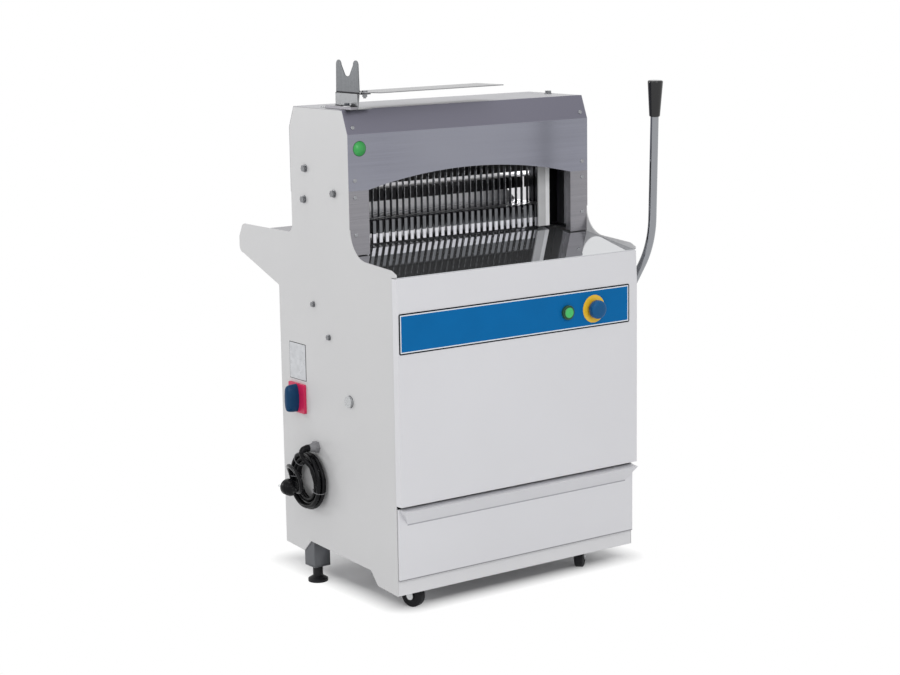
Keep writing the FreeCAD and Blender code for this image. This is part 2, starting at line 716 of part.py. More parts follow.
def rear_cover():
    """Back sheet, sloping underside of the rear table and its turned-up end."""
    end = WING_END - REAR_INSET
    path = [(BODY_BACK, PANEL_BOTTOM_BACK + 2 * REAR_INSET), (BODY_BACK, WING_ROOT + REAR_INSET / 2),
            (end, WING_UNDER + REAR_INSET), (end, BED_Z - REAR_LIP)]
    sheet = profile_x(strip(path, SHEET), -INNER, INNER)
    half, height = LOUVRE[0] / 2, LOUVRE[1]
    slots = []
    for side in SIDES:
        for i in range(LOUVRES):
            z = LOUVRE_Z + i * LOUVRE_STEP
            slots.append(box((side * LOUVRE_X - half, side * LOUVRE_X + half),
                             (BODY_BACK - SHEET - PAST, BODY_BACK + PAST), (z, z + height)))
    return sheet.cut(slots)


def top_cover():
    """Top sheet, its rear slope and the apron over the rear mouth."""
    path = head_line()[:3] + [(HEAD_FRONT_TOP + HOOD_LAP, HEAD_TOP)]
    sheet = profile_x(strip(path, SHEET), -HALF, HALF)
    holes = [rod("z", at, HEAD_TOP - SHEET - PAST, HEAD_TOP + PAST, BIG_BOLT_R)
             for at in (TOP_BOLT, STRIP_BOLT)]
    return sheet.cut(holes)


def rivet_hole(x, z):
    return rod("y", (x, z), HEAD_FRONT - PAST, EDGE + PAST, RIVET_R)


def on_slope(shape):
    """Shape made on the hood's plate above the fold, leant back onto its slope."""
    run, rise = HEAD_FRONT_TOP - HEAD_FRONT, HEAD_TOP - HOOD_BEND
    shape.rotate(Vec(0, HEAD_FRONT, HOOD_BEND), Vec(1, 0, 0), -math.degrees(math.atan2(run, rise)))
    return shape


def front_hood():
    """Stainless hood: sloping band, then a front plate with an arched lower edge."""
    path = [(HEAD_FRONT_TOP + HOOD_LAP, HEAD_TOP)] + head_line()[3:]
    sheet = profile_x(strip(path, SHEET), -HALF, HALF)
    arch = profile_y([(-ARCH_HALF, SEAM_Z - PAST), (-ARCH_HALF, SEAM_Z),
                      (ARCH_HALF, SEAM_Z, 0, ARCH_TOP), (ARCH_HALF, SEAM_Z - PAST)],
                     HEAD_FRONT - PAST, EDGE + PAST)
    holes = [rivet_hole(s * x, z) for s in SIDES for x, z in RIVETS if z > SEAM_Z]
    x, above = SLOPE_RIVET
    holes += both(lambda s: on_slope(rivet_hole(s * x, HOOD_BEND + above)))
    return sheet.cut([arch] + holes)


def jamb(side):
    """Stainless plate beside the mouth with a flange turned in along its inner edge."""
    inner = side * (LINER_X - SHEET)
    depth = (HEAD_FRONT, EDGE)
    plate = fuse([box((inner, side * HALF), depth, (JAMB_FULL_Z, SEAM_Z)),
                  box((inner, side * INNER), depth, (JAMB_Z, SEAM_Z)),
                  box((inner, side * LINER_X), (HEAD_FRONT, EDGE + JAMB_FLANGE),
                      (JAMB_Z + JAMB_STEP, SEAM_Z))])
    return plate.cut([rivet_hole(side * x, z) for x, z in RIVETS if z < SEAM_Z])


def inner_liner(side):
    """Mirror sheet beside the blades, from the front flange to the rear mouth."""
    back, foot_z = HEAD_BACK - SHEET, BED_Z + LINER_RISE
    outline = [(EDGE, LINER_FRONT_Z), (BED_FRONT, foot_z), (back, foot_z),
               (back, LINER_TOP[1]), (EDGE, LINER_TOP[0])]
    return profile_x(outline, side * LINER_X, side * (LINER_X + SHEET))


def liner_spacers(side):
    """Spacer tubes between liner and side panel, one for each big bolt."""
    return [rod("x", (y, z), side * (LINER_X + SHEET), side * INNER, SPACER_R)
            for y, z, r in SIDE_BOLTS if r == BIG_BOLT_R]


def tray():
    """Mirror tray that slopes from the blades to the front, with a hem along its front."""
    path = [(BED_FRONT - TRAY_BACK_GAP, TRAY_BACK_Z), (TRAY_FRONT, TRAY_FRONT_Z),
            (TRAY_FRONT, COVER_TOP)]
    return profile_x(strip(path, SHEET), -INNER + TRAY_SIDE_GAP, INNER - TRAY_SIDE_GAP)


def blade_places():
    first = -PITCH * (BLADES - 1) / 2
    return [first + PITCH * i for i in range(BLADES)]


def slotted_bed():
    """Bed between tray and rear table, slotted for the blades and the frame uprights."""
    y = (FRONT_FRAME_Y - FRAME_D / 2 - SLOT_MORE, REAR_FRAME_Y + FRAME_D / 2 + SLOT_MORE)
    z = (BED_Z - TABLE_T - PAST, BED_Z + PAST)
    plate = box((-INNER, INNER), (BED_FRONT, BED_BACK), (BED_Z - TABLE_T, BED_Z))
    slots = [box((x - SLOT_W / 2, x + SLOT_W / 2), y, z) for x in blade_places()]
    slots += both(lambda s: box((s * (FRAME_X[0] - UPRIGHT_GAP), s * (FRAME_X[1] + UPRIGHT_GAP)), y, z))
    return plate.cut(slots)


def infeed_table():
    """Rear table with two slots for the pusher's brackets and a hem round its end."""
    low = BED_Z - TABLE_T
    hem_low = BED_Z - TABLE_HEM
    inner_x = PUSHER_SHOULDER[0]
    beside, ahead = TABLE_SLOT
    plate = box((-INNER, INNER), (BED_BACK, TABLE_END), (low, BED_Z))
    hem = box((-INNER, INNER), (TABLE_END - TABLE_T, TABLE_END), (hem_low, BED_Z))
    ledge = box((-INNER, INNER), (TABLE_END, WING_END - REAR_INSET - SHEET), (hem_low, hem_low + TABLE_T))
    slots = both(lambda s: box((s * (inner_x - beside), s * (inner_x + BRACKET_T + beside)),
                               (BRACKET_Y[0] - ahead, BRACKET_Y[1] + ahead + FEED_TRAVEL),
                               (low - PAST, BED_Z + PAST)))
    return fuse([plate, hem, ledge]).cut(slots)


def blade_guide(side):
    """Plastic guide with three fins that keep the two blade frames apart."""
    z = (BED_Z + GUIDE_RISE, GUIDE_TOP)
    face = FRAME_X[1] + GUIDE_GAP
    back = box((side * face, side * LINER_X), GUIDE_Y, z)
    half = FRAME_D / 2 + GUIDE_GAP
    gaps = [(GUIDE_Y[0], FRONT_FRAME_Y - half), (FRONT_FRAME_Y + half, REAR_FRAME_Y - half),
            (REAR_FRAME_Y + half, GUIDE_Y[1])]
    fins = [box((side * FIN_X, side * face), y, z) for y in gaps]
    return fuse([back] + fins)


def guard_post(side):
    """White strip in front of the frame uprights, turned back to the guide."""
    z = (BED_Z + POST_RISE, GUIDE_TOP)
    face = box((side * POST_X[0], side * POST_X[1]), POST_Y, z)
    web = box((side * POST_X[1], side * (POST_X[1] - POST_WEB)), (POST_Y[0], GUIDE_Y[0]), z)
    return fuse([face, web])


# ---------------------------------------------------------------- blades
def blade_side(y):
    """Way from a frame at y to the row of blades, and Y of its bars' face beside them."""
    way = 1 if y < BLADE_Y else -1
    return way, BLADE_Y - way * (BLADE_W / 2 + BLADE_GAP)


def blade_frame(y, lug_x, lug_way):
    """Two uprights, two bars between them and a lug for each connecting rod."""
    depth = (y - FRAME_D / 2, y + FRAME_D / 2)
    way, face = blade_side(y)
    pieces = both(lambda s: box((s * FRAME_X[0], s * FRAME_X[1]), depth, (FRAME_BOTTOM[0], FRAME_TOP[1])))
    pieces += [box((-FRAME_X[0], FRAME_X[0]), (y - way * FRAME_D / 2, face), z)
               for z in (FRAME_BOTTOM, FRAME_TOP)]
    for side in SIDES:
        near = side * lug_x + lug_way * (CONROD_T / 2 + LUG_GAP)
        far = near + lug_way * LUG_T
        lug = box((near, far), depth, (EYE_Z, FRAME_BOTTOM[0]))
        pieces.append(fuse([lug, rod("x", (y, EYE_Z), near, far, FRAME_D / 2)]))
    return pieces


def blades(y, places):
    """Blades of the frame at y, each with an ear at both ends that lies on a bar's face."""
    way, face = blade_side(y)
    near, far = BLADE_Y - way * BLADE_W / 2, BLADE_Y + way * BLADE_W / 2
    low, top = FRAME_BOTTOM[1], FRAME_TOP[0]
    ear_h, ear_y = EAR[0], BLADE_Y + way * EAR[1]
    outline = [(face, low - ear_h), (ear_y, low - ear_h), (far, low), (far, top),
               (ear_y, top + ear_h), (face, top + ear_h), (face, top), (near, top),
               (near, low), (face, low)]
    return [profile_x(outline, x - BLADE_T / 2, x + BLADE_T / 2) for x in places]


# ---------------------------------------------------------------- pusher and feed
def finger(x):
    """Strip bent to an upside-down L: upright in front, its arm running back."""
    y, (low, top) = FINGER_Y, FINGER_Z
    outer, inner = FINGER_BEND
    back, under = y + FINGER_T, top - FINGER_T
    outline = [(y, low), (y, top - outer), (y + outer, top, y + outer * SAG, top - outer * SAG),
               (PUSHER_Y, top), (PUSHER_Y, under), (back + inner, under),
               (back, under - inner, back + inner * SAG, under - inner * SAG), (back, low)]
    return profile_x(outline, x - FINGER_W / 2, x + FINGER_W / 2)


def pusher_plate():
    """Plate with cut shoulders, and a wider band along its top."""
    (sx, sz), (cx, cz) = PUSHER_SHOULDER, PUSHER_CREST
    half = [(sx, PUSHER_Z[0]), (sx, sz), (cx, cz), (PUSHER_BAR_X, cz), (PUSHER_BAR_X, PUSHER_Z[1])]
    outline = half + [(-x, z) for x, z in half[::-1]]
    return profile_y(outline, PUSHER_Y, PUSHER_Y + PUSHER_T)


def pusher_side(side):
    """Slider on the guide rod, bracket up through the table, bar forward to the pin."""
    low, top = ROD_Z - SLIDER_HALF, ROD_Z + SLIDER_HALF
    inner_x = PUSHER_SHOULDER[0]
    slider_x = ROD_X - SLIDER_HALF
    slider = box((side * slider_x, side * (ROD_X + SLIDER_HALF)), SLIDER_Y, (low, top))
    foot_plate = box((side * inner_x, side * slider_x), BRACKET_Y, (low, low + SLIDER_FOOT))
    upright = box((side * inner_x, side * (inner_x + BRACKET_T)), BRACKET_Y, (low, BRACKET_TOP))
    bar = box((side * (ROD_X - BAR_HALF), side * (ROD_X + BAR_HALF)),
              (PIN_Y - BAR_NOSE, SLIDER_Y[1]), (low - BAR_H, low))
    bore = rod("y", (side * ROD_X, ROD_Z), SLIDER_Y[0] - PAST, SLIDER_Y[1] + PAST, ROD_R + RUN_GAP)
    return fuse([slider, foot_plate, upright, bar]).cut(bore)


def drive_pin(side):
    return rod("x", (PIN_Y, PIN_Z), side * (ROD_X + BAR_HALF), side * (ARM_X + ARM_T / 2 + PIN_OUT), PIN_R)


def guide_rod(side):
    return rod("y", (side * ROD_X, ROD_Z), ROD_Y[0], ROD_Y[1], ROD_R)


def rod_supports(side):
    blocks = []
    for y in (ROD_Y[0], ROD_Y[1] - SUPPORT_T):
        block = box((side * (ROD_X - SUPPORT_HALF), side * INNER), (y, y + SUPPORT_T),
                    (ROD_Z - SUPPORT_DROP, BED_Z - TABLE_T))
        blocks.append(block.cut(guide_rod(side)))
    return blocks


def feed_arm(side):
    """Slotted arm on the feed shaft, leaning forward to the drive pin."""
    reach = PIN_Z - SHAFT_Z
    lean = math.atan2(SHAFT_Y - PIN_Y, reach)
    near, far = reach - ARM_SLOT[0], reach / math.cos(lean) + ARM_SLOT[1]
    slot = PIN_R + PIN_GAP
    x = (side * (ARM_X - ARM_T / 2), side * (ARM_X + ARM_T / 2))
    cut_x = (x[0] - side * PAST, x[1] + side * PAST)
    blade = fuse([box(x, (-ARM_HALF, ARM_HALF), (0, far)), rod("x", (0, far), *x, ARM_HALF)])
    gap = fuse([box(cut_x, (-slot, slot), (near, far)), rod("x", (0, near), *cut_x, slot),
                rod("x", (0, far), *cut_x, slot)])
    boss_r, boss_half = ARM_BOSS
    boss = rod("x", (0, 0), side * (ARM_X - boss_half), side * (ARM_X + boss_half), boss_r)
    arm = fuse([blade.cut(gap), boss])
    arm.rotate(Vec(0, 0, 0), Vec(1, 0, 0), math.degrees(lean))
    arm.translate(Vec(0, SHAFT_Y, SHAFT_Z))
    return arm


def feed_shaft():
    """Cross shaft with its two arms, end disc on the left and hub on the right."""
    at = (SHAFT_Y, SHAFT_Z)
    left = -HALF - DISC_GAP
    shaft = rod("x", at, left, LEVER_X - HUB_HALF, SHAFT_R)
    disc = rod("x", at, left - DISC[1], left, DISC[0])
    neck = rod("x", at, HALF + NECK_GAP, LEVER_X - HUB_HALF, NECK_R)
    hub = rod("x", at, LEVER_X - HUB_HALF, LEVER_X + HUB_HALF, HUB_R)
    return fuse([shaft, disc, neck, hub] + both(feed_arm))


def shaft_bush(side):
    at = (SHAFT_Y, SHAFT_Z)
    flange_r, flange_t = BUSH_FLANGE
    inner = side * (INNER - flange_t)
    sleeve = rod("x", at, inner, side * HALF, BUSH_R)
    flange = rod("x", at, inner, side * INNER, flange_r)
    bore = rod("x", at, inner - side * PAST, side * (HALF + PAST), SHAFT_R + RUN_GAP)
    return fuse([sleeve, flange]).cut(bore)


def lever_tube():
    """Bent tube from the hub up and forward, then nearly upright."""
    start = Vec(LEVER_X, SHAFT_Y, SHAFT_Z)
    corner = Vec(LEVER_X, *LEVER_CORNER)
    top = Vec(LEVER_X, *LEVER_TOP)
    turn = math.pi - start.sub(corner).getAngle(top.sub(corner))
    reach = LEVER_BEND_R * math.tan(turn / 2)
    arc_start, arc, arc_end, _ = tangent_arc(start, corner, top, reach)
    path = Part.Wire([Part.LineSegment(start, arc_start).toShape(), arc,
                      Part.LineSegment(arc_end, top).toShape()])
    tube = sweep_round(path, LEVER_R, start, corner.sub(start))
    return tube.cut(rod("x", (SHAFT_Y, SHAFT_Z), LEVER_X - HUB_HALF, LEVER_X + HUB_HALF, HUB_R))


def lever_knob():
    """Tapered grip on the end of the tube, with rounded ends."""
    way = Vec(0, LEVER_TOP[0] - LEVER_CORNER[0], LEVER_TOP[1] - LEVER_CORNER[1]).normalize()
    base = Vec(LEVER_X, *LEVER_TOP)
    grip = Part.makeCone(KNOB_R[0], KNOB_R[1], KNOB_L, base, way)
    rims = [edge for edge in grip.Edges if len(edge.Vertexes) == 1]
    return grip.makeFillet(KNOB_RIM, rims)


# ---------------------------------------------------------------- drive
def crankshaft():
    """Shaft with four eccentric sheaves: the front pair leads, the rear pair trails."""
    shaft = rod("x", (CRANK_Y, CRANK_Z), -BEARING_X - SHAFT_OVER[0], PULLEY_X + SHAFT_OVER[1], CRANK_R)
    half = CONROD_T / 2
    sheaves = [rod("x", (y, CRANK_Z), side * x - half, side * x + half, SHEAVE_R)
               for x, y in ((ROD_FRONT_X, CRANK_Y - STROKE), (ROD_REAR_X, CRANK_Y + STROKE))
               for side in SIDES]
    return fuse([shaft] + sheaves)


def conrod(x, y):
    """Strap round its sheave with a shank up to the eye beside the frame's lug."""
    x0, x1 = x - CONROD_T / 2, x + CONROD_T / 2
    strap = rod("x", (y, CRANK_Z), x0, x1, SHEAVE_R + STRAP_WALL)
    shank = box((x0, x1), (y - SHANK_HALF, y + SHANK_HALF), (CRANK_Z + SHEAVE_R + STRAP_WALL / 2, EYE_Z))
    eye = rod("x", (y, EYE_Z), x0, x1, EYE_R)
    bores = [rod("x", (y, CRANK_Z), x0 - PAST, x1 + PAST, SHEAVE_R + RUN_GAP),
             rod("x", (y, EYE_Z), x0 - PAST, x1 + PAST, EYE_BORE_R)]
    return fuse([strap, shank, eye]).cut(bores)


def pillow_block(side):
    x0, x1 = side * BEARING_X - BEARING_HALF, side * BEARING_X + BEARING_HALF
    z0 = CRANK_Z - BEARING_H
    foot_half, foot_t = BEARING_FOOT
    foot_plate = box((x0, x1), (CRANK_Y - foot_half, CRANK_Y + foot_half), (z0, z0 + foot_t))
    dome = rod("x", (CRANK_Y, CRANK_Z), x0, x1, BEARING_R)
    post = box((x0, x1), (CRANK_Y - BEARING_POST, CRANK_Y + BEARING_POST), (z0, CRANK_Z))
    bore = rod("x", (CRANK_Y, CRANK_Z), x0 - PAST, x1 + PAST, CRANK_R + RUN_GAP)
    return fuse([foot_plate, dome, post]).cut(bore)


def crank_rails():
    """Two rails along the depth, carried by cross members between the side panels."""
    top = CRANK_Z - BEARING_H
    back = BODY_BACK - SHEET
    half = RAIL_W / 2
    rails = both(lambda s: box((s * BEARING_X - half, s * BEARING_X + half), (RAIL_FRONT, back),
                               (top - RAIL_H, top)))
    members = [box((-INNER, INNER), y, (top - 2 * RAIL_H, top - RAIL_H))
               for y in ((RAIL_FRONT, RAIL_FRONT + RAIL_H), (back - RAIL_H, back))]
    return fuse(rails + members)


def pulley(y, z, radius):
    x0, x1 = PULLEY_X - PULLEY_W / 2, PULLEY_X + PULLEY_W / 2
    disc = rod("x", (y, z), x0, x1, radius)
    groove = ring("x", (y, z), PULLEY_X - GROOVE_W / 2, PULLEY_X + GROOVE_W / 2,
                  radius + PAST, radius - GROOVE_D)
    return disc.cut(groove)


def motor_axis():
    return PAN_Z + PAN_T + MOTOR_PLATE + MOTOR_FRAME


def loop_around(radius_a, radius_b, x0, x1):
    """Solid of the taut loop around the crank pulley (a) and the motor pulley (b)."""
    a = Vec(x0, CRANK_Y, CRANK_Z)
    b = Vec(x0, MOTOR_Y, motor_axis())
    line = b.sub(a)
    base = math.atan2(line.z, line.y)
    spread = math.acos((radius_a - radius_b) / line.Length)
    points = []
    for centre, radius in ((a, radius_a), (b, radius_b)):
        for sign in (1, -1):
            angle = base + sign * spread
            points.append(Vec(x0, centre.y + radius * math.cos(angle),
                              centre.z + radius * math.sin(angle)))
    far_a = Vec(x0, a.y - radius_a * math.cos(base), a.z - radius_a * math.sin(base))
    far_b = Vec(x0, b.y + radius_b * math.cos(base), b.z + radius_b * math.sin(base))
    edges = [Part.Arc(points[0], far_a, points[1]).toShape(),
             Part.LineSegment(points[1], points[3]).toShape(),
             Part.Arc(points[3], far_b, points[2]).toShape(),
             Part.LineSegment(points[2], points[0]).toShape()]
    return Part.Face(Part.Wire(edges)).extrude(Vec(x1 - x0, 0, 0))


def drive_belt():
    x0, x1 = PULLEY_X - BELT_W / 2, PULLEY_X + BELT_W / 2
    inner_a = PULLEY_R - GROOVE_D + BELT_GAP
    inner_b = MOTOR_PULLEY_R - GROOVE_D + BELT_GAP
    outer = loop_around(inner_a + BELT_T, inner_b + BELT_T, x0, x1)
    return outer.cut(loop_around(inner_a, inner_b, x0, x1))


def motor():
    """Foot-mounted motor: ribbed body, end shields, feet, terminal box, plate."""
    z = motor_axis()
    x0, x1 = MOTOR_X
    shield_l, nose_r = MOTOR_SHIELD
    depth, width, step = RIB
    core_r = MOTOR_R - depth
    body = rod("x", (MOTOR_Y, z), x0, x1 - shield_l, core_r)
    starts = [x0 + RIB_START + step * i for i in range(RIBS)]
    ribs = [rod("x", (MOTOR_Y, z), x, x + width, MOTOR_R) for x in starts]
    shield = cone("x", (MOTOR_Y, z), x1 - shield_l, x1, core_r, nose_r)
    feet_z = PAN_Z + PAN_T + MOTOR_PLATE
    feet_x = (x0 + MOTOR_FEET[0], x1 - MOTOR_FEET[1])
    feet = box(feet_x, (MOTOR_Y - MOTOR_FEET[2], MOTOR_Y + MOTOR_FEET[2]), (feet_z, feet_z + MOTOR_FEET[3]))
    saddle = box(feet_x, (MOTOR_Y - MOTOR_SADDLE, MOTOR_Y + MOTOR_SADDLE), (feet_z, z))
    plate = box((x0 + PLATE_IN[0], x1 - PLATE_IN[1]), (MOTOR_Y - PLATE_IN[2], MOTOR_Y + PLATE_IN[2]),
                (PAN_Z + PAN_T, feet_z))
    box_x, box_y, box_h = TERMINALS
    terminals = box([x0 + x for x in box_x], [MOTOR_Y + y for y in box_y], (z - box_h, z + box_h))
    bore = rod("x", (MOTOR_Y, z), x1 - shield_l - MOTOR_BORE, x1 + PAST, MOTOR_SHAFT_R + RUN_GAP)
    return fuse([body, shield, feet, saddle, plate, terminals] + ribs).cut(bore)


def motor_pulley():
    z = motor_axis()
    shaft = rod("x", (MOTOR_Y, z), MOTOR_X[1] - MOTOR_SHIELD[0], PULLEY_X + PULLEY_W / 2, MOTOR_SHAFT_R)
    return fuse([pulley(MOTOR_Y, z, MOTOR_PULLEY_R), shaft])


def crumb_chute():
    """Sheet that carries crumbs forward into the drawer, over the motor."""
    member = BODY_BACK - SHEET - RAIL_H
    member_low = CRANK_Z - BEARING_H - 2 * RAIL_H
    end = member - CHUTE_FLANGE + PAST
    half, behind = CHUTE_SLOT
    sheet = profile_x(strip([CHUTE_FRONT, (end, CHUTE_BACK_Z)], SHEET), -INNER, INNER)
    flange = box((-INNER, INNER), (member - CHUTE_FLANGE, member), (member_low, CHUTE_BACK_Z))
    slot = box((PULLEY_X - half, PULLEY_X + half), (CHUTE_FRONT[0] - CHUTE_CUT, end - behind),
               (CHUTE_FRONT[1] - CHUTE_CUT, CHUTE_BACK_Z + CHUTE_CUT))
    return fuse([sheet, flange]).cut(slot)


# ---------------------------------------------------------------- drawer
def drawer_front():
    """Front with folded edges and the wedge-shaped lip along its top."""
    x = HALF - 2
    front = box((-x, x), (-DRAWER_OUT, -DRAWER_OUT + SHEET), DRAWER_Z)
    folds = [box((-x, x), (-DRAWER_OUT, -DRAWER_GAP), z)
             for z in ((DRAWER_Z[0], DRAWER_Z[0] + SHEET), (DRAWER_Z[1] - SHEET, DRAWER_Z[1]))]
    folds += both(lambda s: box((s * x, s * (x - SHEET)), (-DRAWER_OUT, -DRAWER_GAP), DRAWER_Z))
    corners = [Vec(s * a, -y, z) for s in SIDES for a, y, z in
               ((LIP_END_TOP, DRAWER_OUT, DRAWER_Z[1]), (LIP_END_TOP, LIP_OUT, LIP_TOP),
                (LIP_END_BOTTOM, DRAWER_OUT, LIP_BOTTOM))]
    left, right = corners[:3], corners[3:]
    faces = [Part.Face(Part.makePolygon(list(p) + [p[0]])) for p in (
        left, right, (left[0], right[0], right[1], left[1]),
        (left[1], right[1], right[2], left[2]), (left[2], right[2], right[0], left[0]))]
    lip = Part.makeSolid(Part.makeShell(faces))
    if lip.Volume < 0:
        lip.reverse()
    return fuse([front, lip] + folds)


def drawer_box():
    """Bottom, two sides, front and back of the crumb box, spot-welded."""
    x = DRAWER_BOX_X
    y = (-DRAWER_OUT + SHEET, DRAWER_BACK)
    floor_z, top = DRAWER_BOX_Z[0] + SHEET, DRAWER_BOX_Z[1]
    bottom = box((-x, x), y, (DRAWER_BOX_Z[0], floor_z))
    sides = [box((s * x, s * (x - SHEET)), y, (floor_z, top)) for s in SIDES]
    ends = [box((-x + SHEET, x - SHEET), (end, end + way * SHEET), (floor_z, top))
            for end, way in zip(y, (1, -1))]
    return [bottom] + sides + ends


def drawer_runner(side):
    """Angle on the pan's curb that the drawer's bottom edge slides along."""
    z = DRAWER_BOX_Z[0] - RUNNER_GAP
    y = (RUNNER_FRONT, DRAWER_BACK + RUNNER_OVER)
    foot_plate = box((side * (DRAWER_BOX_X - RUNNER_FOOT), side * (INNER - PAN_T)), y, (z - RUNNER_T, z))
    wall = box([side * (DRAWER_BOX_X + out) for out in RUNNER_WALL], y, (z, z + RUNNER))
    return fuse([foot_plate, wall])


# ---------------------------------------------------------------- controls
def collar(x, face, radius, out):
    """Threaded collar of a control, from its head on the face through the cover."""
    head = rod("y", (x, CONTROL_Z), face - out, face, radius)
    neck = rod("y", (x, CONTROL_Z), face, -COLLAR_END, COLLAR_TUBE_R)
    bore = rod("y", (x, CONTROL_Z), face - out - PAST, 0, STEM_R + STEM_GAP)
    return fuse([head, neck]).cut(bore)


def button_bezel():
    well = rod("y", (BUTTON_X, CONTROL_Z), FASCIA_Y - BEZEL_OUT - PAST, FASCIA_Y - STEM_GAP / 2,
               BUTTON_R + STEM_GAP)
    return collar(BUTTON_X, FASCIA_Y, BEZEL_R, BEZEL_OUT).cut(well)


def button_cap():
    front = FASCIA_Y - BUTTON_OUT
    back = FASCIA_Y - BUTTON_TRAVEL - 3 * STEM_GAP
    cap = softened(rod("y", (BUTTON_X, CONTROL_Z), front, back, BUTTON_R), front, BUTTON_RIM)
    return fuse([cap, rod("y", (BUTTON_X, CONTROL_Z), front + BUTTON_RIM, -STEM_END, STEM_R)])


def estop_plate():
    return ring("y", (ESTOP_X, CONTROL_Z), FASCIA_Y - ESTOP_PLATE_T, FASCIA_Y,
                ESTOP_PLATE_R, COLLAR_TUBE_R)


def estop_collar():
    """Short collar on the yellow plate."""
    return collar(ESTOP_X, FASCIA_Y - ESTOP_PLATE_T, *ESTOP_COLLAR)


def estop_mushroom():
    front = FASCIA_Y - MUSHROOM_OUT
    head = rod("y", (ESTOP_X, CONTROL_Z), front, front + MUSHROOM_T, MUSHROOM_R)
    stem = rod("y", (ESTOP_X, CONTROL_Z), front + MUSHROOM_RIM, -STEM_END, STEM_R)
    return fuse([softened(head, front, MUSHROOM_RIM), stem])


def contact_block(x):
    h = CONTACT / 2
    return box((x - h, x + h), (-COLLAR_END, CONTACT_DEPTH - COLLAR_END), (CONTROL_Z - h, CONTROL_Z + h))


def switch_plate():
    h = SWITCH_SIZE / 2
    plate = box((-HALF - SWITCH_T, -HALF), (SWITCH_Y - h, SWITCH_Y + h), (SWITCH_Z - h, SWITCH_Z + h))
    bore = rod("x", (SWITCH_Y, SWITCH_Z), -HALF - SWITCH_T - PAST, -HALF + PAST, SPINDLE_R + STEM_GAP)
    return rounded(plate, Vec(1, 0, 0), SWITCH_CORNER).cut(bore)


def switch_knob():
    """Round knob with a raised grip bar and its spindle."""
    at = (SWITCH_Y, SWITCH_Z)
    face = -HALF - SWITCH_T - KNOB_GAP
    front = -HALF - KNOB_OUT
    half_y, half_z, rim_r = KNOB_BAR
    disc = rod("x", at, face - KNOB_DISC_T, face, KNOB_DISC_R)
    bar = box((face - KNOB_DISC_T, front), (SWITCH_Y - half_y, SWITCH_Y + half_y),
              (SWITCH_Z - half_z, SWITCH_Z + half_z))
    rim = [edge for edge in bar.Edges if abs(edge.BoundBox.XMax - front) < 1e-6]
    spindle = rod("x", at, face, -INNER + SPINDLE_IN, SPINDLE_R)
    return fuse([disc, bar.makeFillet(rim_r, rim), spindle])


def switch_box():
    """Closed box for the switch behind the panel, with a hole for the spindle."""
    (inner_x, y0, z0), (y1, z1) = SWITCH_BOX
    shell = box((-INNER, inner_x), (y0, y1), (z0, z1))
    bore = rod("x", (SWITCH_Y, SWITCH_Z), -INNER - PAST, -INNER + SPINDLE_IN + 2 * PAST, SWITCH_HOLE_R)
    return shell.cut(bore)


def cable_gland():
    at = (GLAND_Y, GLAND_Z)
    shoulder = -HALF - GLAND_HEX
    body = hexagon("x", at, shoulder, -HALF, 2 * GLAND_R - GLAND_STEP)
    dome = cone("x", at, shoulder, -HALF - GLAND_OUT, GLAND_R - GLAND_STEP, GLAND_MOUTH_R)
    neck = rod("x", at, -HALF, -INNER + GLAND_NUT + GLAND_PAST, GLAND_R - GLAND_NECK_IN)
    nut = hexagon("x", at, -INNER, -INNER + GLAND_NUT, 2 * GLAND_R)
    return fuse([body, dome, neck, nut])


# ---------------------------------------------------------------- cord
CORD_LEAD = [Vec(-HALF - GLAND_OUT, GLAND_Y, GLAND_Z), Vec(-352, 300, 315.5), Vec(-364, 299, 309),
             Vec(-370.5, 296, 297), Vec(-370, 290, 283), Vec(-363, 283, 271),
             Vec(-353, 277, 262), Vec(-343, 271, 250)]
CORD_TAIL = [Vec(-341, 368, 243), Vec(-347, 367, 256), Vec(-355, 358, 267), Vec(-362, 342, 272),
             Vec(-367, 324, 272.5), Vec(-370, 306, 270), Vec(-371, 290, 263), Vec(-371, 280, 251),
             Vec(-370, 279, 238), Vec(-368, 286, 228), Vec(-366, 296, 223), Vec(-364, 306.5, 222.5),
             Vec(PLUG_X, PLUG_Y - PLUG_L, PLUG_Z)]


def cord_run(points):
    path, radii = fillet_path(points)
    tube = sweep_round(path, CORD_R, points[0], points[1].sub(points[0]))
    ratio = tube.Volume / (math.pi * CORD_R ** 2 * path.Length)
    print("cord run %.0f mm, radii %s, volume ratio %.4f" % (
        path.Length, [round(r, 1) for r in radii], ratio))
    return tube


def cord_coil():
    return Part.makeTorus(COIL_R, COIL_BUNDLE_R, Vec(COIL_X, COIL_Y, COIL_Z), Vec(1, 0, 0))


def plug():
    """Round mains plug lying on the coil, its two pins pointing to the back."""
    at = (PLUG_X, PLUG_Z)
    neck = PLUG_Y - PLUG_FACE_T
    pin_r, pin_l, pin_x = PIN
    face = rod("y", at, neck, PLUG_Y, PLUG_R)
    grip = cone("y", at, neck, PLUG_Y - PLUG_L, *PLUG_GRIP_R)
    pins = both(lambda s: rod("y", (PLUG_X + s * pin_x, PLUG_Z), PLUG_Y, PLUG_Y + pin_l, pin_r))
    return fuse([face, grip] + pins)


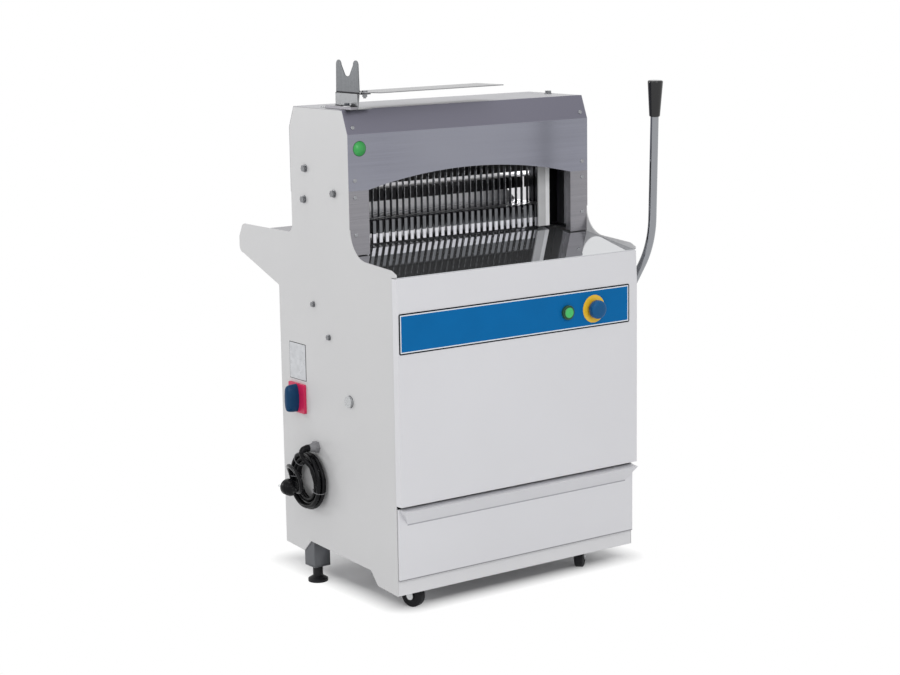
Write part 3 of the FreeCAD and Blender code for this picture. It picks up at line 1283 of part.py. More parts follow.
# ---------------------------------------------------------------- bag rack
def fork_bracket():
    """Foot strip on the top sheet, notched upright plate and a tab for the scoop."""
    foot_top = HEAD_TOP + FORK_T
    foot_strip = box([FORK_X + x for x in STRIP_X], STRIP_Y, (HEAD_TOP, foot_top))
    (y0, y1), mid = FORK_Y, sum(FORK_Y) / 2
    tip, shoulder, valley = FORK_TIP_R, FORK_TOP - FORK_TIP_R, FORK_TOP - FORK_NOTCH
    a, b = y0 + FORK_TIP_IN, y1 - FORK_TIP_IN
    outline = [(y0 + FORK_FOOT_IN, foot_top), (y0, RACK_Z), (a, shoulder),
               (a + 2 * tip, shoulder, a + tip, FORK_TOP),
               (mid - NOTCH_HALF, valley + NOTCH_DIP),
               (mid + NOTCH_HALF, valley + NOTCH_DIP, mid, valley),
               (b - 2 * tip, shoulder), (b, shoulder, b - tip, FORK_TOP),
               (y1, RACK_Z), (y1, foot_top)]
    upright = profile_x(outline, FORK_X - FORK_T, FORK_X)
    leg = box((FORK_X - 2 * FORK_T, FORK_X - FORK_T), FORK_LEG, (HEAD_TOP, RACK_Z - FORK_T))
    tab_top = RACK_Z - FORK_T
    tab = box((FORK_X - FORK_T, RACK_SCREW[0] + TAB_HALF),
              (RACK_SCREW[1] - TAB_HALF, RACK_SCREW[1] + TAB_HALF), (tab_top - FORK_T, tab_top))
    holes = [rod("z", RACK_SCREW, tab_top - FORK_T - PAST, tab_top + PAST, RACK_SCREW_R),
             rod("z", STRIP_BOLT, HEAD_TOP - PAST, foot_top + PAST, BIG_BOLT_R)]
    return fuse([foot_strip, upright, leg, tab]).cut(holes)


def bag_scoop():
    """Flat rest for the bag, with a tongue that turns on the screw."""
    sx, sy = RACK_SCREW
    z = (RACK_Z - SCOOP_T + SCOOP_GAP, RACK_Z + SCOOP_GAP)
    neck, cut = SCOOP_NECK
    fold_h, fold_in = SCOOP_FOLD
    start, y0, y1 = sx + neck, sy - SCOOP_FRONT, sy - SCOOP_FRONT + SCOOP_DEPTH
    tongue = fuse([box((sx, start + TAB_HALF), (sy - TAB_HALF, sy + TAB_HALF), z),
                   rod("z", (sx, sy), *z, TAB_HALF)])
    plate = profile_z([(start, sy - TAB_HALF), (start + cut, y0), (SCOOP_END, y0),
                       (SCOOP_END, y1), (start + cut, y1), (start, sy + TAB_HALF)], *z)
    fold = box((start + cut, SCOOP_END - fold_in), (y0, y0 + SCOOP_T), (z[0] - fold_h, z[1]))
    hole = rod("z", (sx, sy), z[0] - PAST, z[1] + PAST, RACK_SCREW_R + RUN_GAP)
    scoop = fuse([tongue, plate, fold]).cut(hole)
    scoop.rotate(Vec(sx, sy, 0), Vec(0, 0, 1), SCOOP_TILT)
    return scoop


# ---------------------------------------------------------------- fasteners
def side_bolt(side, y, z, r):
    """Hexagon bolt with washer, its shank filling the panel's hole."""
    face = side * HALF
    seat = side * (HALF + WASHER_T)
    washer = rod("x", (y, z), face, seat, WASHER * r)
    head = hexagon("x", (y, z), seat, seat + side * HEX_HEAD[1] * r, HEX_HEAD[0] * r)
    inner = INNER if r == BIG_BOLT_R else INNER - STIFFENER_T
    shank = rod("x", (y, z), side * inner, face, r)
    return fuse([washer, head, shank])


def top_bolt(at, z):
    r = BIG_BOLT_R
    seat = z + WASHER_T
    washer = rod("z", at, z, seat, WASHER * r)
    head = hexagon("z", at, seat, seat + HEX_HEAD[1] * r, HEX_HEAD[0] * r)
    shank = rod("z", at, HEAD_TOP - SHEET, z, r)
    return fuse([washer, head, shank])


def scoop_screw():
    """Screw that the scoop turns on, held by a nut under the tab."""
    r = RACK_SCREW_R
    head_z = RACK_Z + 2 * SCOOP_GAP
    nut_z = RACK_Z - 2 * FORK_T
    nut_low = nut_z - HEX_NUT[1] * r
    shank = rod("z", RACK_SCREW, nut_low - r, head_z, r)
    head = rod("z", RACK_SCREW, head_z, head_z + ROUND_HEAD[1] * r, ROUND_HEAD[0] * r)
    nut = hexagon("z", RACK_SCREW, nut_low, nut_z, HEX_NUT[0] * r)
    return fuse([shank, head, nut])


def rivet(x, z):
    head_r, head_h, rim = RIVET_HEAD
    front = HEAD_FRONT - head_h
    head = softened(rod("y", (x, z), front, HEAD_FRONT, head_r), front, rim)
    return fuse([head, rod("y", (x, z), HEAD_FRONT, EDGE, RIVET_R)])


# ---------------------------------------------------------------- casters
def caster_fork(side):
    """Swivel fork: bearing cup under the plate and two cheeks to the wheel's axle."""
    x, y = side * CASTER_X, SWIVEL_Y
    low_r, high_r, cup_h = CUP
    ahead, behind, half = FORK_CROWN
    cup_top = CASTER_TOP - CUP_GAP
    crown_z = cup_top - cup_h
    cup = cone("z", (x, y), crown_z, cup_top, low_r, high_r)
    crown = box((x - half, x + half), (y - ahead, y + behind), (crown_z - FORK_PLATE_T, crown_z))
    cheek = [(CASTER_Y - CHEEK_R, CASTER_R), (CASTER_Y + CHEEK_R, CASTER_R, CASTER_Y, CASTER_R - CHEEK_R),
             (y + behind, crown_z), (y - ahead, crown_z)]
    cheeks = []
    for s in SIDES:
        near = x + s * (CASTER_W / 2 + CHEEK_GAP)
        cheeks.append(profile_x(cheek, near, near + s * CHEEK_T))
    reach = CASTER_W / 2 + CHEEK_GAP + CHEEK_T + AXLE_END
    axle = rod("x", (CASTER_Y, CASTER_R), x - reach, x + reach, AXLE_R)
    kingpin = rod("z", (x, y), cup_top, CASTER_TOP - KINGPIN_END, KINGPIN_R)
    fork = fuse([cup, kingpin, crown, axle] + cheeks)
    fork.rotate(Vec(x, y, 0), Vec(0, 0, 1), CASTER_TURN[side])
    return fork


def caster_wheel(side):
    """Rubber tyre and hub of a caster wheel."""
    x, y = side * CASTER_X, SWIVEL_Y
    at = (CASTER_Y, CASTER_R)
    h = CASTER_W / 2
    tyre = ring("x", at, x - h, x + h, CASTER_R, CASTER_R - TYRE_T)
    rims = [edge for edge in tyre.Edges
            if len(edge.Vertexes) == 1 and abs(edge.BoundBox.ZLength - 2 * CASTER_R) < 0.1]
    tyre = tyre.makeFillet(TYRE_RIM, rims)
    hub = ring("x", at, x - h + PAST, x + h - PAST, CASTER_R - TYRE_T, AXLE_R + RUN_GAP)
    for solid in (tyre, hub):
        solid.rotate(Vec(x, y, 0), Vec(0, 0, 1), CASTER_TURN[side])
    return [tyre, hub]


# ---------------------------------------------------------------- write all sub-parts
def main():
    names = {-1: "left", 1: "right"}
    for side in SIDES:
        save("side_panel_" + names[side], side_panel(side))
        save("foot_" + names[side], foot(side))
        save("caster_fork_" + names[side], caster_fork(side))
        save("caster_wheel_" + names[side], caster_wheel(side))
    save("front_cover", front_cover())
    save("base_pan", base_pan())
    save("caster_beam", caster_beam())
    save("rear_legs", both(rear_leg) + both(leg_cap))
    save("rear_cover", rear_cover())
    save("top_cover", top_cover())
    save("front_hood", front_hood())
    save("jambs", both(jamb))
    save("inner_liners", both(inner_liner) + sum(both(liner_spacers), []))
    save("outfeed_tray", tray())
    save("slotted_bed", slotted_bed())
    save("infeed_table", infeed_table())
    save("blade_guides", both(blade_guide) + both(guard_post))
    save("panel_bolts", [side_bolt(s, *spec) for s in SIDES for spec in SIDE_BOLTS]
         + [top_bolt(TOP_BOLT, HEAD_TOP), top_bolt(STRIP_BOLT, HEAD_TOP + FORK_T), scoop_screw()])
    x, above = SLOPE_RIVET
    save("hood_rivets", [rivet(s * x, z) for s in SIDES for x, z in RIVETS]
         + both(lambda s: on_slope(rivet(s * x, HOOD_BEND + above))))

    save("control_fascia", control_fascia())
    save("control_collars", [button_bezel(), estop_collar()])
    save("button_cap", button_cap())
    save("estop_plate", estop_plate())
    save("estop_mushroom", estop_mushroom())
    save("electric_boxes", [contact_block(BUTTON_X), contact_block(ESTOP_X), switch_box()])
    save("switch_plate", switch_plate())
    save("switch_knob", switch_knob())
    save("cable_gland", cable_gland())
    save("cord_lead", [cord_run(CORD_LEAD), cord_run(CORD_TAIL)])
    save("cord_coil", cord_coil())
    save("plug", plug())

    save("drawer_front", drawer_front())
    save("drawer_box", drawer_box())
    save("drawer_runners", both(drawer_runner))

    places = blade_places()
    save("blade_frame_front", blade_frame(FRONT_FRAME_Y, ROD_FRONT_X, 1)
         + blades(FRONT_FRAME_Y, places[0::2]))
    save("blade_frame_rear", blade_frame(REAR_FRAME_Y, ROD_REAR_X, -1)
         + blades(REAR_FRAME_Y, places[1::2]))

    save("crankshaft", crankshaft())
    save("crank_pulley", pulley(CRANK_Y, CRANK_Z, PULLEY_R).cut(
        rod("x", (CRANK_Y, CRANK_Z), PULLEY_X - PULLEY_W, PULLEY_X + PULLEY_W, CRANK_R)))
    save("conrods_front", [conrod(s * ROD_FRONT_X, CRANK_Y - STROKE) for s in SIDES])
    save("conrods_rear", [conrod(s * ROD_REAR_X, CRANK_Y + STROKE) for s in SIDES])
    save("bearings", both(pillow_block) + both(shaft_bush))
    save("crank_rails", crank_rails())
    save("drive_belt", drive_belt())
    save("motor", motor())
    save("motor_pulley", motor_pulley())
    save("crumb_chute", crumb_chute())

    save("pusher_fingers", [finger(-PITCH * (FINGERS - 1) / 2 + PITCH * i) for i in range(FINGERS)])
    save("pusher_plate", pusher_plate())
    save("pusher_carriage", both(pusher_side) + both(drive_pin))
    save("pusher_rails", both(guide_rod) + sum(both(rod_supports), []))
    save("feed_shaft", feed_shaft())
    save("lever_tube", lever_tube())
    save("lever_knob", lever_knob())

    save("fork_bracket", fork_bracket())
    save("bag_scoop", bag_scoop())


main()
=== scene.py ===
"""Electric frame bread slicer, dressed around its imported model.

Metres, in the model's own frame: X to the right, Y to the back, Z up, the origin on
the floor under the middle of the machine. The CAD nodes keep their shapes and get
rounded edges and finishes; the mains lead, the blade guides, the scoop, the switch knob,
the mushroom head and small fittings are built here.
"""
import json
import math

import bmesh
import bpy
from mathutils import Matrix, Vector


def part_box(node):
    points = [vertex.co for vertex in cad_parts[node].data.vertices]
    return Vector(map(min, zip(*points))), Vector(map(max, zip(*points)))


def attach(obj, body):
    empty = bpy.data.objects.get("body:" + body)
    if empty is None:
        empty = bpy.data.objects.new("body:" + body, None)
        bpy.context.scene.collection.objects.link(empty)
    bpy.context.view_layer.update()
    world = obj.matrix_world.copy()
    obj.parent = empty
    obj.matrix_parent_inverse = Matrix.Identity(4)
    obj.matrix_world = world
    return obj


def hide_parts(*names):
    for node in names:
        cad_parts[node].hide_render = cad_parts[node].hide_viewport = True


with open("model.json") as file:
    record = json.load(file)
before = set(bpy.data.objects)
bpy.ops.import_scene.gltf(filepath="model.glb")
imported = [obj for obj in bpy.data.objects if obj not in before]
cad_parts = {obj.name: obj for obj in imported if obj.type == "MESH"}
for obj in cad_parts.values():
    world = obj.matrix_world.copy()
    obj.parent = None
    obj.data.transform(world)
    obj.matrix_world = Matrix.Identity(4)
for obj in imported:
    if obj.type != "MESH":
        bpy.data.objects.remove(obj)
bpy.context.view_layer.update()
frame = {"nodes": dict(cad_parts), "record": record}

scene = bpy.context.scene
nodes = frame["nodes"]

# ---------------------------------------------------------------- camera
CAMERA_PLACE = (-2.557934, -3.612829, 1.331206)
CAMERA_YAW = math.radians(35.504)
CAMERA_PITCH = math.radians(10.222)
CAMERA_ROLL = math.radians(0.898)
CAMERA_LENS = 81.3125
CAMERA_SHIFT_Y = -0.00668
CAMERA_CLIP = 60.0

# ---------------------------------------------------------------- mains lead
CORD_R = 0.0045
CORD_LEAD = [(-0.339, 0.027, 0.315), (-0.352, 0.027, 0.3155), (-0.359, 0.0255, 0.308),
             (-0.358, 0.023, 0.298), (-0.352, 0.018, 0.289), (-0.346, 0.012, 0.280),
             (-0.343, 0.004, 0.269), (-0.342, -0.001, 0.256)]
CORD_TAIL = [(-0.343, 0.095, 0.243), (-0.349, 0.094, 0.256), (-0.357, 0.085, 0.267),
             (-0.364, 0.069, 0.272), (-0.369, 0.051, 0.2725), (-0.372, 0.033, 0.270),
             (-0.373, 0.017, 0.263), (-0.373, 0.007, 0.251), (-0.372, 0.006, 0.238),
             (-0.370, 0.013, 0.228), (-0.368, 0.023, 0.223), (-0.366, 0.0335, 0.2225),
             (-0.365, 0.043, 0.224)]
COIL_CENTRE = Vector((-0.333, 0.046, 0.239))
COIL_R = 0.050
COIL_POINTS = 16              # control points in a turn
COIL_START = 180.0            # angle round the coil where the middle strand starts
COIL_LEAVES = 450.0           # where it leaves the middle of the bundle
COIL_OUT = 500.0              # where it has reached the outside
COIL_SETTLED = 535.0          # where it lies in its own place there
COIL_END = 2140.0
STRAND_STEP = 0.0093          # from the middle strand to those round it
STRAND_LOOSE = 0.00065        # and up to twice this more where they lie loosest
STRAND_LOOSEST = 150.0        # which is at this angle round the coil
STRAND_FIRST = (0.0055, 0.002)  # its first two points lie this far off the middle
STRAND_UP = 90.0              # at this angle round the bundle
STRAND_FREE = 123.0           # angle at which the strand comes out of the middle
STRAND_PLACE = 156.0          # and at which it then lies
COIL_DRIFTS = 530.0           # from here on it drifts round the bundle
STRAND_DRIFT = 6.0            # degrees round the coil for one degree round the bundle
RELIEF_LENGTH = 0.024
RELIEF_R = (0.0080, 0.0056)
RELIEF_RIB = 0.0004
RELIEF_POINTS = 24
TIES = ((4.0, 0.0140), (58.0, 0.0145), (197.0, 0.0142))  # angle round the coil, radius
TIE_R = 0.0008
TIE_POINTS = (40, 10)         # round the bundle and round the wire

# ---------------------------------------------------------------- lights
AMBIENT = 0.60
LAMPS = (
    # place, aim, size, power
    ((-0.9, -4.3, 3.1), (0.0, 0.0, 0.6), 2.4, 66.0),
    ((-3.9, -0.6, 2.4), (0.0, 0.0, 0.6), 2.0, 20.0),
    ((0.0, 0.6, 4.2), (0.0, 0.0, 0.5), 2.6, 40.0),
    ((-2.9, 3.5, 1.7), (-0.3, 0.05, 0.3), 0.9, 34.0),
)
FLOOR_R = 6.0
FLOOR_T = 0.02
FLOOR_POINTS = 96
SHADE_X = (-0.272, 0.370)     # the floor is shaded between these
SHADE_Y = (-0.222, 0.280)
SHADE_SOFT = 0.034            # and is as white as the backdrop this far outside them

# ---------------------------------------------------------------- places on the CAD nodes
OFFSET_X = -0.002             # the middle plane in this frame
EDGE_ANGLE = 18.0             # folds sharper than this get a rounded edge
FLAT_ANGLE = 0.3              # faces that meet at less than this become one
WELD_GAP = 1e-6
HOOD_BEND = 0.9935            # height of the hood's fold
FORK_SHADOW_LINE = (1.0752, 1.0785)  # black line of painted shadow between the fork's two plates
FINGER_PAINTED_LIGHT = (0.7762, 0.8052)  # below the first and above the second the fingers are painted bright: painted reflection, painted highlights
COLLARS_SPLIT = 0.150         # X between the button's bezel and the emergency stop's collar
BUTTON_FACE = 0.0107          # radius of the button's bright face
BUTTON_SOFT = 0.0003
DRAWER_SHADE_LINES = (0.0020, 0.2018, 0.2046)  # dark lines of painted shade: height of the foot's, start and end of the lip's
LIP_HALF = 0.292              # half the width of the lip's lower edge
LINER_PAINTED_REFLECTION = -0.03          # the liners are painted bright behind this and dark before it: painted reflection
PUSHER_PAINTED_BANDS = (0.788, 0.813, 0.8295)  # painted reflections: darker foot, bright line, black band
APRON_Y = 0.05                # the top sheet's rear apron lies behind this
APRON_FACING = (-0.6, -0.4)   # Y of the normal: a front face below, none above

# ---------------------------------------------------------------- colours used more than once
BLACK = (0.012, 0.012, 0.014)
COVER_WHITE = (0.69, 0.69, 0.715)
BACK_PLATE = (0.72, 0.72, 0.74)
BLADE_GREY = (0.10, 0.102, 0.11)
LEAST_ROUGHNESS = 0.02


# ---------------------------------------------------------------- finishes
class Finish:
    """A Principled material whose colour, roughness and height vary over the surface.

    Patterns are placed in object coordinates, which are metres here.
    """

    def __init__(self, name, colour, roughness, metallic=0.0, **sockets):
        self.name = name
        self.made = bpy.data.materials.new(name)
        self.made.use_nodes = True
        self.tree = self.made.node_tree
        self.shader = self.tree.nodes["Principled BSDF"]
        self.colour = colour
        self.roughness = roughness
        self.shader.inputs["Base Color"].default_value = (*colour, 1)
        self.shader.inputs["Roughness"].default_value = roughness
        self.shader.inputs["Metallic"].default_value = metallic
        for socket, value in sockets.items():
            self.shader.inputs[socket.replace("_", " ")].default_value = value
        self.place = self.tree.nodes.new("ShaderNodeTexCoord").outputs["Object"]

    def node(self, kind, **settings):
        made = self.tree.nodes.new("ShaderNode" + kind)
        for key, value in settings.items():
            setattr(made, key, value)
        return made

    def math(self, operation, a, b=0.0):
        made = self.node("Math", operation=operation)
        for socket, value in zip(made.inputs, (a, b)):
            if isinstance(value, (int, float)):
                socket.default_value = value
            else:
                self.tree.links.new(value, socket)
        return made.outputs[0]

    def noise(self, scale, stretch=(1, 1, 1), detail=3.0):
        """Noise with that many features to the metre, drawn out where stretch is small."""
        mapping = self.node("Mapping")
        mapping.inputs["Scale"].default_value = stretch
        self.tree.links.new(self.place, mapping.inputs["Vector"])
        made = self.node("TexNoise")
        made.inputs["Scale"].default_value = scale
        made.inputs["Detail"].default_value = detail
        self.tree.links.new(mapping.outputs[0], made.inputs["Vector"])
        return made.outputs["Fac"]

    def spread(self, source, low, high, start=0.3, end=0.7):
        made = self.node("MapRange")
        for key, value in (("From Min", start), ("From Max", end),
                           ("To Min", low), ("To Max", high)):
            made.inputs[key].default_value = value
        self.tree.links.new(source, made.inputs["Value"])
        return made.outputs[0]

    def mix(self, factor, first, second):
        """Colour between two, each a socket or a triple."""
        made = self.node("Mix", data_type="RGBA")
        self.tree.links.new(factor, made.inputs["Factor"])
        for socket, value in ((made.inputs[6], first), (made.inputs[7], second)):
            if isinstance(value, tuple):
                socket.default_value = (*value, 1)
            else:
                self.tree.links.new(value, socket)
        return made.outputs[2]

    def coordinate(self, axis):
        split = self.node("SeparateXYZ")
        self.tree.links.new(self.place, split.inputs[0])
        return split.outputs[axis]

    def past(self, axis, limit, soft=0.0004):
        """1 where the place along an axis is past a limit, 0 before it."""
        return self.spread(self.coordinate(axis), 0, 1, limit - soft, limit + soft)

    def length(self, gaps):
        """Root of the sum of two squares."""
        squares = [self.math("POWER", gap, 2.0) for gap in gaps]
        return self.math("POWER", self.math("ADD", *squares), 0.5)

    def shade(self, source, amount):
        """Base colour a little darker and lighter by source, kept as the coat."""
        dark = tuple(c * (1 - amount) for c in self.colour)
        light = tuple(min(1.0, c * (1 + amount)) for c in self.colour)
        self.coat = self.mix(self.spread(source, 0, 1), dark, light)
        self.paint(self.coat)

    def paint(self, colour):
        self.tree.links.new(colour, self.shader.inputs["Base Color"])

    def roughen(self, roughness):
        self.tree.links.new(roughness, self.shader.inputs["Roughness"])

    def gloss(self, source, amount):
        """Roughness that varies by amount to either side."""
        low = max(LEAST_ROUGHNESS, self.roughness - amount)
        self.roughen(self.spread(source, low, self.roughness + amount))

    def relief(self, source, height, strength):
        bump = self.node("Bump")
        bump.inputs["Distance"].default_value = height
        bump.inputs["Strength"].default_value = strength
        self.tree.links.new(source, bump.inputs["Height"])
        self.tree.links.new(bump.outputs[0], self.shader.inputs["Normal"])


def painted(name, colour, roughness=0.42):
    """Powder coat: faint orange peel, cloudy gloss."""
    finish = Finish(name, colour, roughness)
    finish.shade(finish.noise(4.0), 0.012)
    finish.gloss(finish.noise(11.0), 0.05)
    finish.relief(finish.noise(420.0, detail=1.0), 0.00004, 0.35)
    return finish


def brushed(name, colour, roughness, along="x"):
    """Sheet with fine grinding lines along one axis."""
    finish = Finish(name, colour, roughness, 1.0)
    stretch = {"x": (0.012, 1, 1), "z": (1, 1, 0.012)}[along]
    lines = finish.noise(1500.0, stretch, 2.0)
    finish.shade(finish.noise(240.0, stretch, 3.0), 0.06)
    finish.gloss(lines, 0.07)
    finish.relief(lines, 0.00002, 0.5)
    return finish


def polished(name, colour, roughness=0.06, metallic=1.0):
    """Mirror sheet with a slight wave and faint wipe marks."""
    finish = Finish(name, colour, roughness, metallic)
    finish.shade(finish.noise(6.0), 0.03)
    finish.gloss(finish.noise(60.0, (1, 0.15, 1)), 0.02)
    finish.relief(finish.noise(3.0, detail=0.0), 0.00004, 0.25)
    return finish


def metal(name, colour, roughness, scale=180.0):
    """Plated or machined metal with small blotches."""
    finish = Finish(name, colour, roughness, 1.0)
    finish.shade(finish.noise(scale), 0.08)
    finish.gloss(finish.noise(scale * 2), 0.08)
    finish.relief(finish.noise(scale * 5), 0.00002, 0.3)
    return finish


def moulded(name, colour, roughness, grain=0.00003, **sockets):
    """Plastic or rubber with a fine moulded grain."""
    finish = Finish(name, colour, roughness, **sockets)
    finish.shade(finish.noise(35.0), 0.05)
    finish.gloss(finish.noise(90.0), 0.05)
    finish.relief(finish.noise(1600.0, detail=2.0), grain, 0.4)
    return finish


def cast(name, colour, roughness=0.6):
    """Painted casting with a sandy skin."""
    finish = Finish(name, colour, roughness)
    finish.shade(finish.noise(50.0), 0.1)
    finish.gloss(finish.noise(80.0), 0.08)
    finish.relief(finish.noise(650.0, detail=4.0), 0.00015, 0.5)
    return finish


FASCIA_BLUE = (0.003, 0.135, 0.375)
FASCIA_BLACK = (0.006, 0.008, 0.014)
FASCIA_WHITE = (0.75, 0.79, 0.84)
FASCIA_LINES = (0.0029, 0.0052)   # inner edges of the black and the white line


def printed_fascia():
    """Printed film: blue field, white line, black line along the edge."""
    finish = Finish("blue_fascia", FASCIA_BLUE, 0.32, Specular_IOR_Level=0.06)
    low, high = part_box("control_fascia")
    gaps = []
    for axis in (0, 2):
        middle, half = (low[axis] + high[axis]) / 2, (high[axis] - low[axis]) / 2
        off = finish.math("SUBTRACT", finish.coordinate(axis), middle)
        gaps.append(finish.math("SUBTRACT", half, finish.math("ABSOLUTE", off)))
    edge = finish.math("MINIMUM", *gaps)
    black = finish.math("LESS_THAN", edge, FASCIA_LINES[0])
    line = finish.math("LESS_THAN", edge, FASCIA_LINES[1])
    finish.shade(finish.noise(14.0), 0.03)
    field = finish.mix(line, finish.coat, FASCIA_WHITE)
    finish.paint(finish.mix(black, field, FASCIA_BLACK))
    finish.gloss(finish.noise(40.0), 0.04)
    finish.relief(finish.noise(900.0, detail=1.0), 0.00002, 0.3)
    return finish


def hood_sheet():
    """Brushed hood whose sloping band above the fold is painted darker, as painted shade, and is
    duller.
    """
    finish = brushed("hood_sheet", (0.25, 0.254, 0.300), 0.24)
    cloud = finish.spread(finish.noise(5.0, detail=2.0), 0.0, 1.0)
    plate = finish.mix(cloud, finish.coat, (0.275, 0.28, 0.325))
    # above the fold the colour is painted darker: painted shade of the sloping band
    slope = finish.past(2, HOOD_BEND)
    finish.paint(finish.mix(slope, plate, (0.185, 0.182, 0.222)))
    finish.roughen(finish.spread(slope, finish.roughness, 0.55, 0, 1))
    return finish


def fork_sheet():
    """Notched plate above, carrying plate below painted lighter (painted light), and a black line
    of painted shadow between them.
    """
    finish = brushed("fork_sheet", (0.125, 0.130, 0.137), 0.34, "z")
    # lower plate painted lighter (painted light), the line above it painted black (painted shadow)
    lower = finish.mix(finish.past(2, FORK_SHADOW_LINE[0]), (0.25, 0.255, 0.262), BLACK)
    finish.paint(finish.mix(finish.past(2, FORK_SHADOW_LINE[1]), lower, finish.coat))
    return finish


def finger_steel():
    """Strips with painted reflections: painted bright at the foot, dark in the middle, painted
    highlights above.
    """
    finish = brushed("finger_steel", (0.16, 0.165, 0.175), 0.30, "z")
    finish.shade(finish.noise(200.0, (1, 1, 0.05), 3.0), 0.25)
    # bright foot and bright top are painted reflection and painted highlight, the dark middle
    # painted reflection
    foot = finish.mix(finish.past(2, FINGER_PAINTED_LIGHT[0]), (0.72, 0.72, 0.76), finish.coat)
    finish.paint(finish.mix(finish.past(2, FINGER_PAINTED_LIGHT[1]), foot, (0.80, 0.80, 0.82)))
    return finish


def pusher_sheet():
    """Polished plate with painted reflections: a black band at the top, a bright line, darker
    towards its foot.
    """
    finish = Finish("pusher_sheet", BACK_PLATE, 0.34, 0.6)
    # colour by height: painted reflections and painted shade, not a finish of the plate
    tone = finish.spread(finish.coordinate(2), 0, 1, PUSHER_PAINTED_BANDS[0], PUSHER_PAINTED_BANDS[1])
    foot = finish.mix(tone, (0.05, 0.05, 0.055), BACK_PLATE)
    patches = finish.spread(finish.noise(9.0), 0, 1)
    cloud = finish.mix(patches, (0.66, 0.66, 0.68), (0.80, 0.80, 0.82))
    line = finish.mix(finish.past(2, PUSHER_PAINTED_BANDS[1]), foot, cloud)
    finish.gloss(finish.noise(60.0), 0.03)
    finish.relief(finish.noise(3.0, detail=0.0), 0.00004, 0.25)
    finish.paint(finish.mix(finish.past(2, PUSHER_PAINTED_BANDS[2]), line, BLACK))
    return finish


def drawer_coat():
    """Powder coat of the drawer with dark lines of painted shade along its foot and painted shadow
    under its lip.
    """
    finish = painted("drawer_coat", COVER_WHITE)
    off = finish.math("SUBTRACT", finish.coordinate(0), OFFSET_X)
    under_lip = finish.math("LESS_THAN", finish.math("ABSOLUTE", off), LIP_HALF)
    # painted shadow under the lip and painted shade along the foot, not seams in the coat
    band = finish.math("SUBTRACT", finish.past(2, DRAWER_SHADE_LINES[1]), finish.past(2, DRAWER_SHADE_LINES[2]))
    lip_shadow = finish.math("MULTIPLY", band, under_lip)
    upper = finish.mix(lip_shadow, finish.coat, (0.36, 0.36, 0.39))
    foot = finish.past(2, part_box("drawer_front")[0][2] + DRAWER_SHADE_LINES[0])
    finish.paint(finish.mix(foot, (0.25, 0.25, 0.27), upper))
    return finish


def liner_sheet():
    """Mirror liners with painted reflections: painted dark in front of the blades, painted bright
    behind them.
    """
    finish = polished("liner_mirror", (0.14, 0.14, 0.15), 0.05)
    # dark front and bright back are painted reflection
    behind = finish.past(1, LINER_PAINTED_REFLECTION, soft=0.002)
    finish.paint(finish.mix(behind, finish.coat, (0.70, 0.70, 0.72)))
    return finish


def collar_rings():
    """Dark green bezel of the start button, dark red collar of the emergency stop, its red
    darkened as painted shadow.
    """
    finish = Finish("collar_rings", (0.02, 0.07, 0.035), 0.35, Specular_IOR_Level=0.3)
    patches = finish.spread(finish.noise(60.0), 0, 1)
    green = finish.mix(patches, (0.016, 0.060, 0.028), (0.024, 0.082, 0.040))
    # the collar's red is painted dark: painted shadow of the mushroom head
    finish.paint(finish.mix(finish.past(0, COLLARS_SPLIT), green, (0.13, 0.008, 0.012)))
    finish.gloss(finish.noise(90.0), 0.05)
    finish.relief(finish.noise(1600.0, detail=2.0), 0.00002, 0.3)
    return finish


def button_lens():
    """Bright face of the start button within its darker rim."""
    finish = Finish("button_lens", (0.045, 0.50, 0.125), 0.22)
    low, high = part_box("button_cap")
    far = finish.length([
        finish.math("SUBTRACT", finish.coordinate(axis), (low[axis] + high[axis]) / 2)
        for axis in (0, 2)])
    rim = finish.spread(far, 0, 1, BUTTON_FACE - BUTTON_SOFT, BUTTON_FACE + BUTTON_SOFT)
    finish.shade(finish.noise(500.0, detail=1.0), 0.10)
    finish.paint(finish.mix(rim, finish.coat, (0.030, 0.16, 0.062)))
    finish.gloss(finish.noise(90.0), 0.04)
    finish.relief(finish.noise(700.0, detail=0.0), 0.00006, 0.4)
    return finish


def top_sheet():
    """Painted top, its grey painted shade of the white coat; the inner face of its rear apron is
    painted black shade.
    """
    # grey in place of the cover's white: painted shade of the top
    finish = painted("top_sheet", (0.37, 0.37, 0.39))
    facing = finish.node("SeparateXYZ")
    finish.tree.links.new(finish.node("NewGeometry").outputs["Normal"], facing.inputs[0])
    # the apron's inner face is painted black: painted shade inside the head
    forward = finish.spread(facing.outputs[1], 1, 0, *APRON_FACING)
    inner = finish.math("MULTIPLY", forward, finish.past(1, APRON_Y))
    finish.paint(finish.mix(inner, finish.coat, (0.010, 0.010, 0.011)))
    return finish


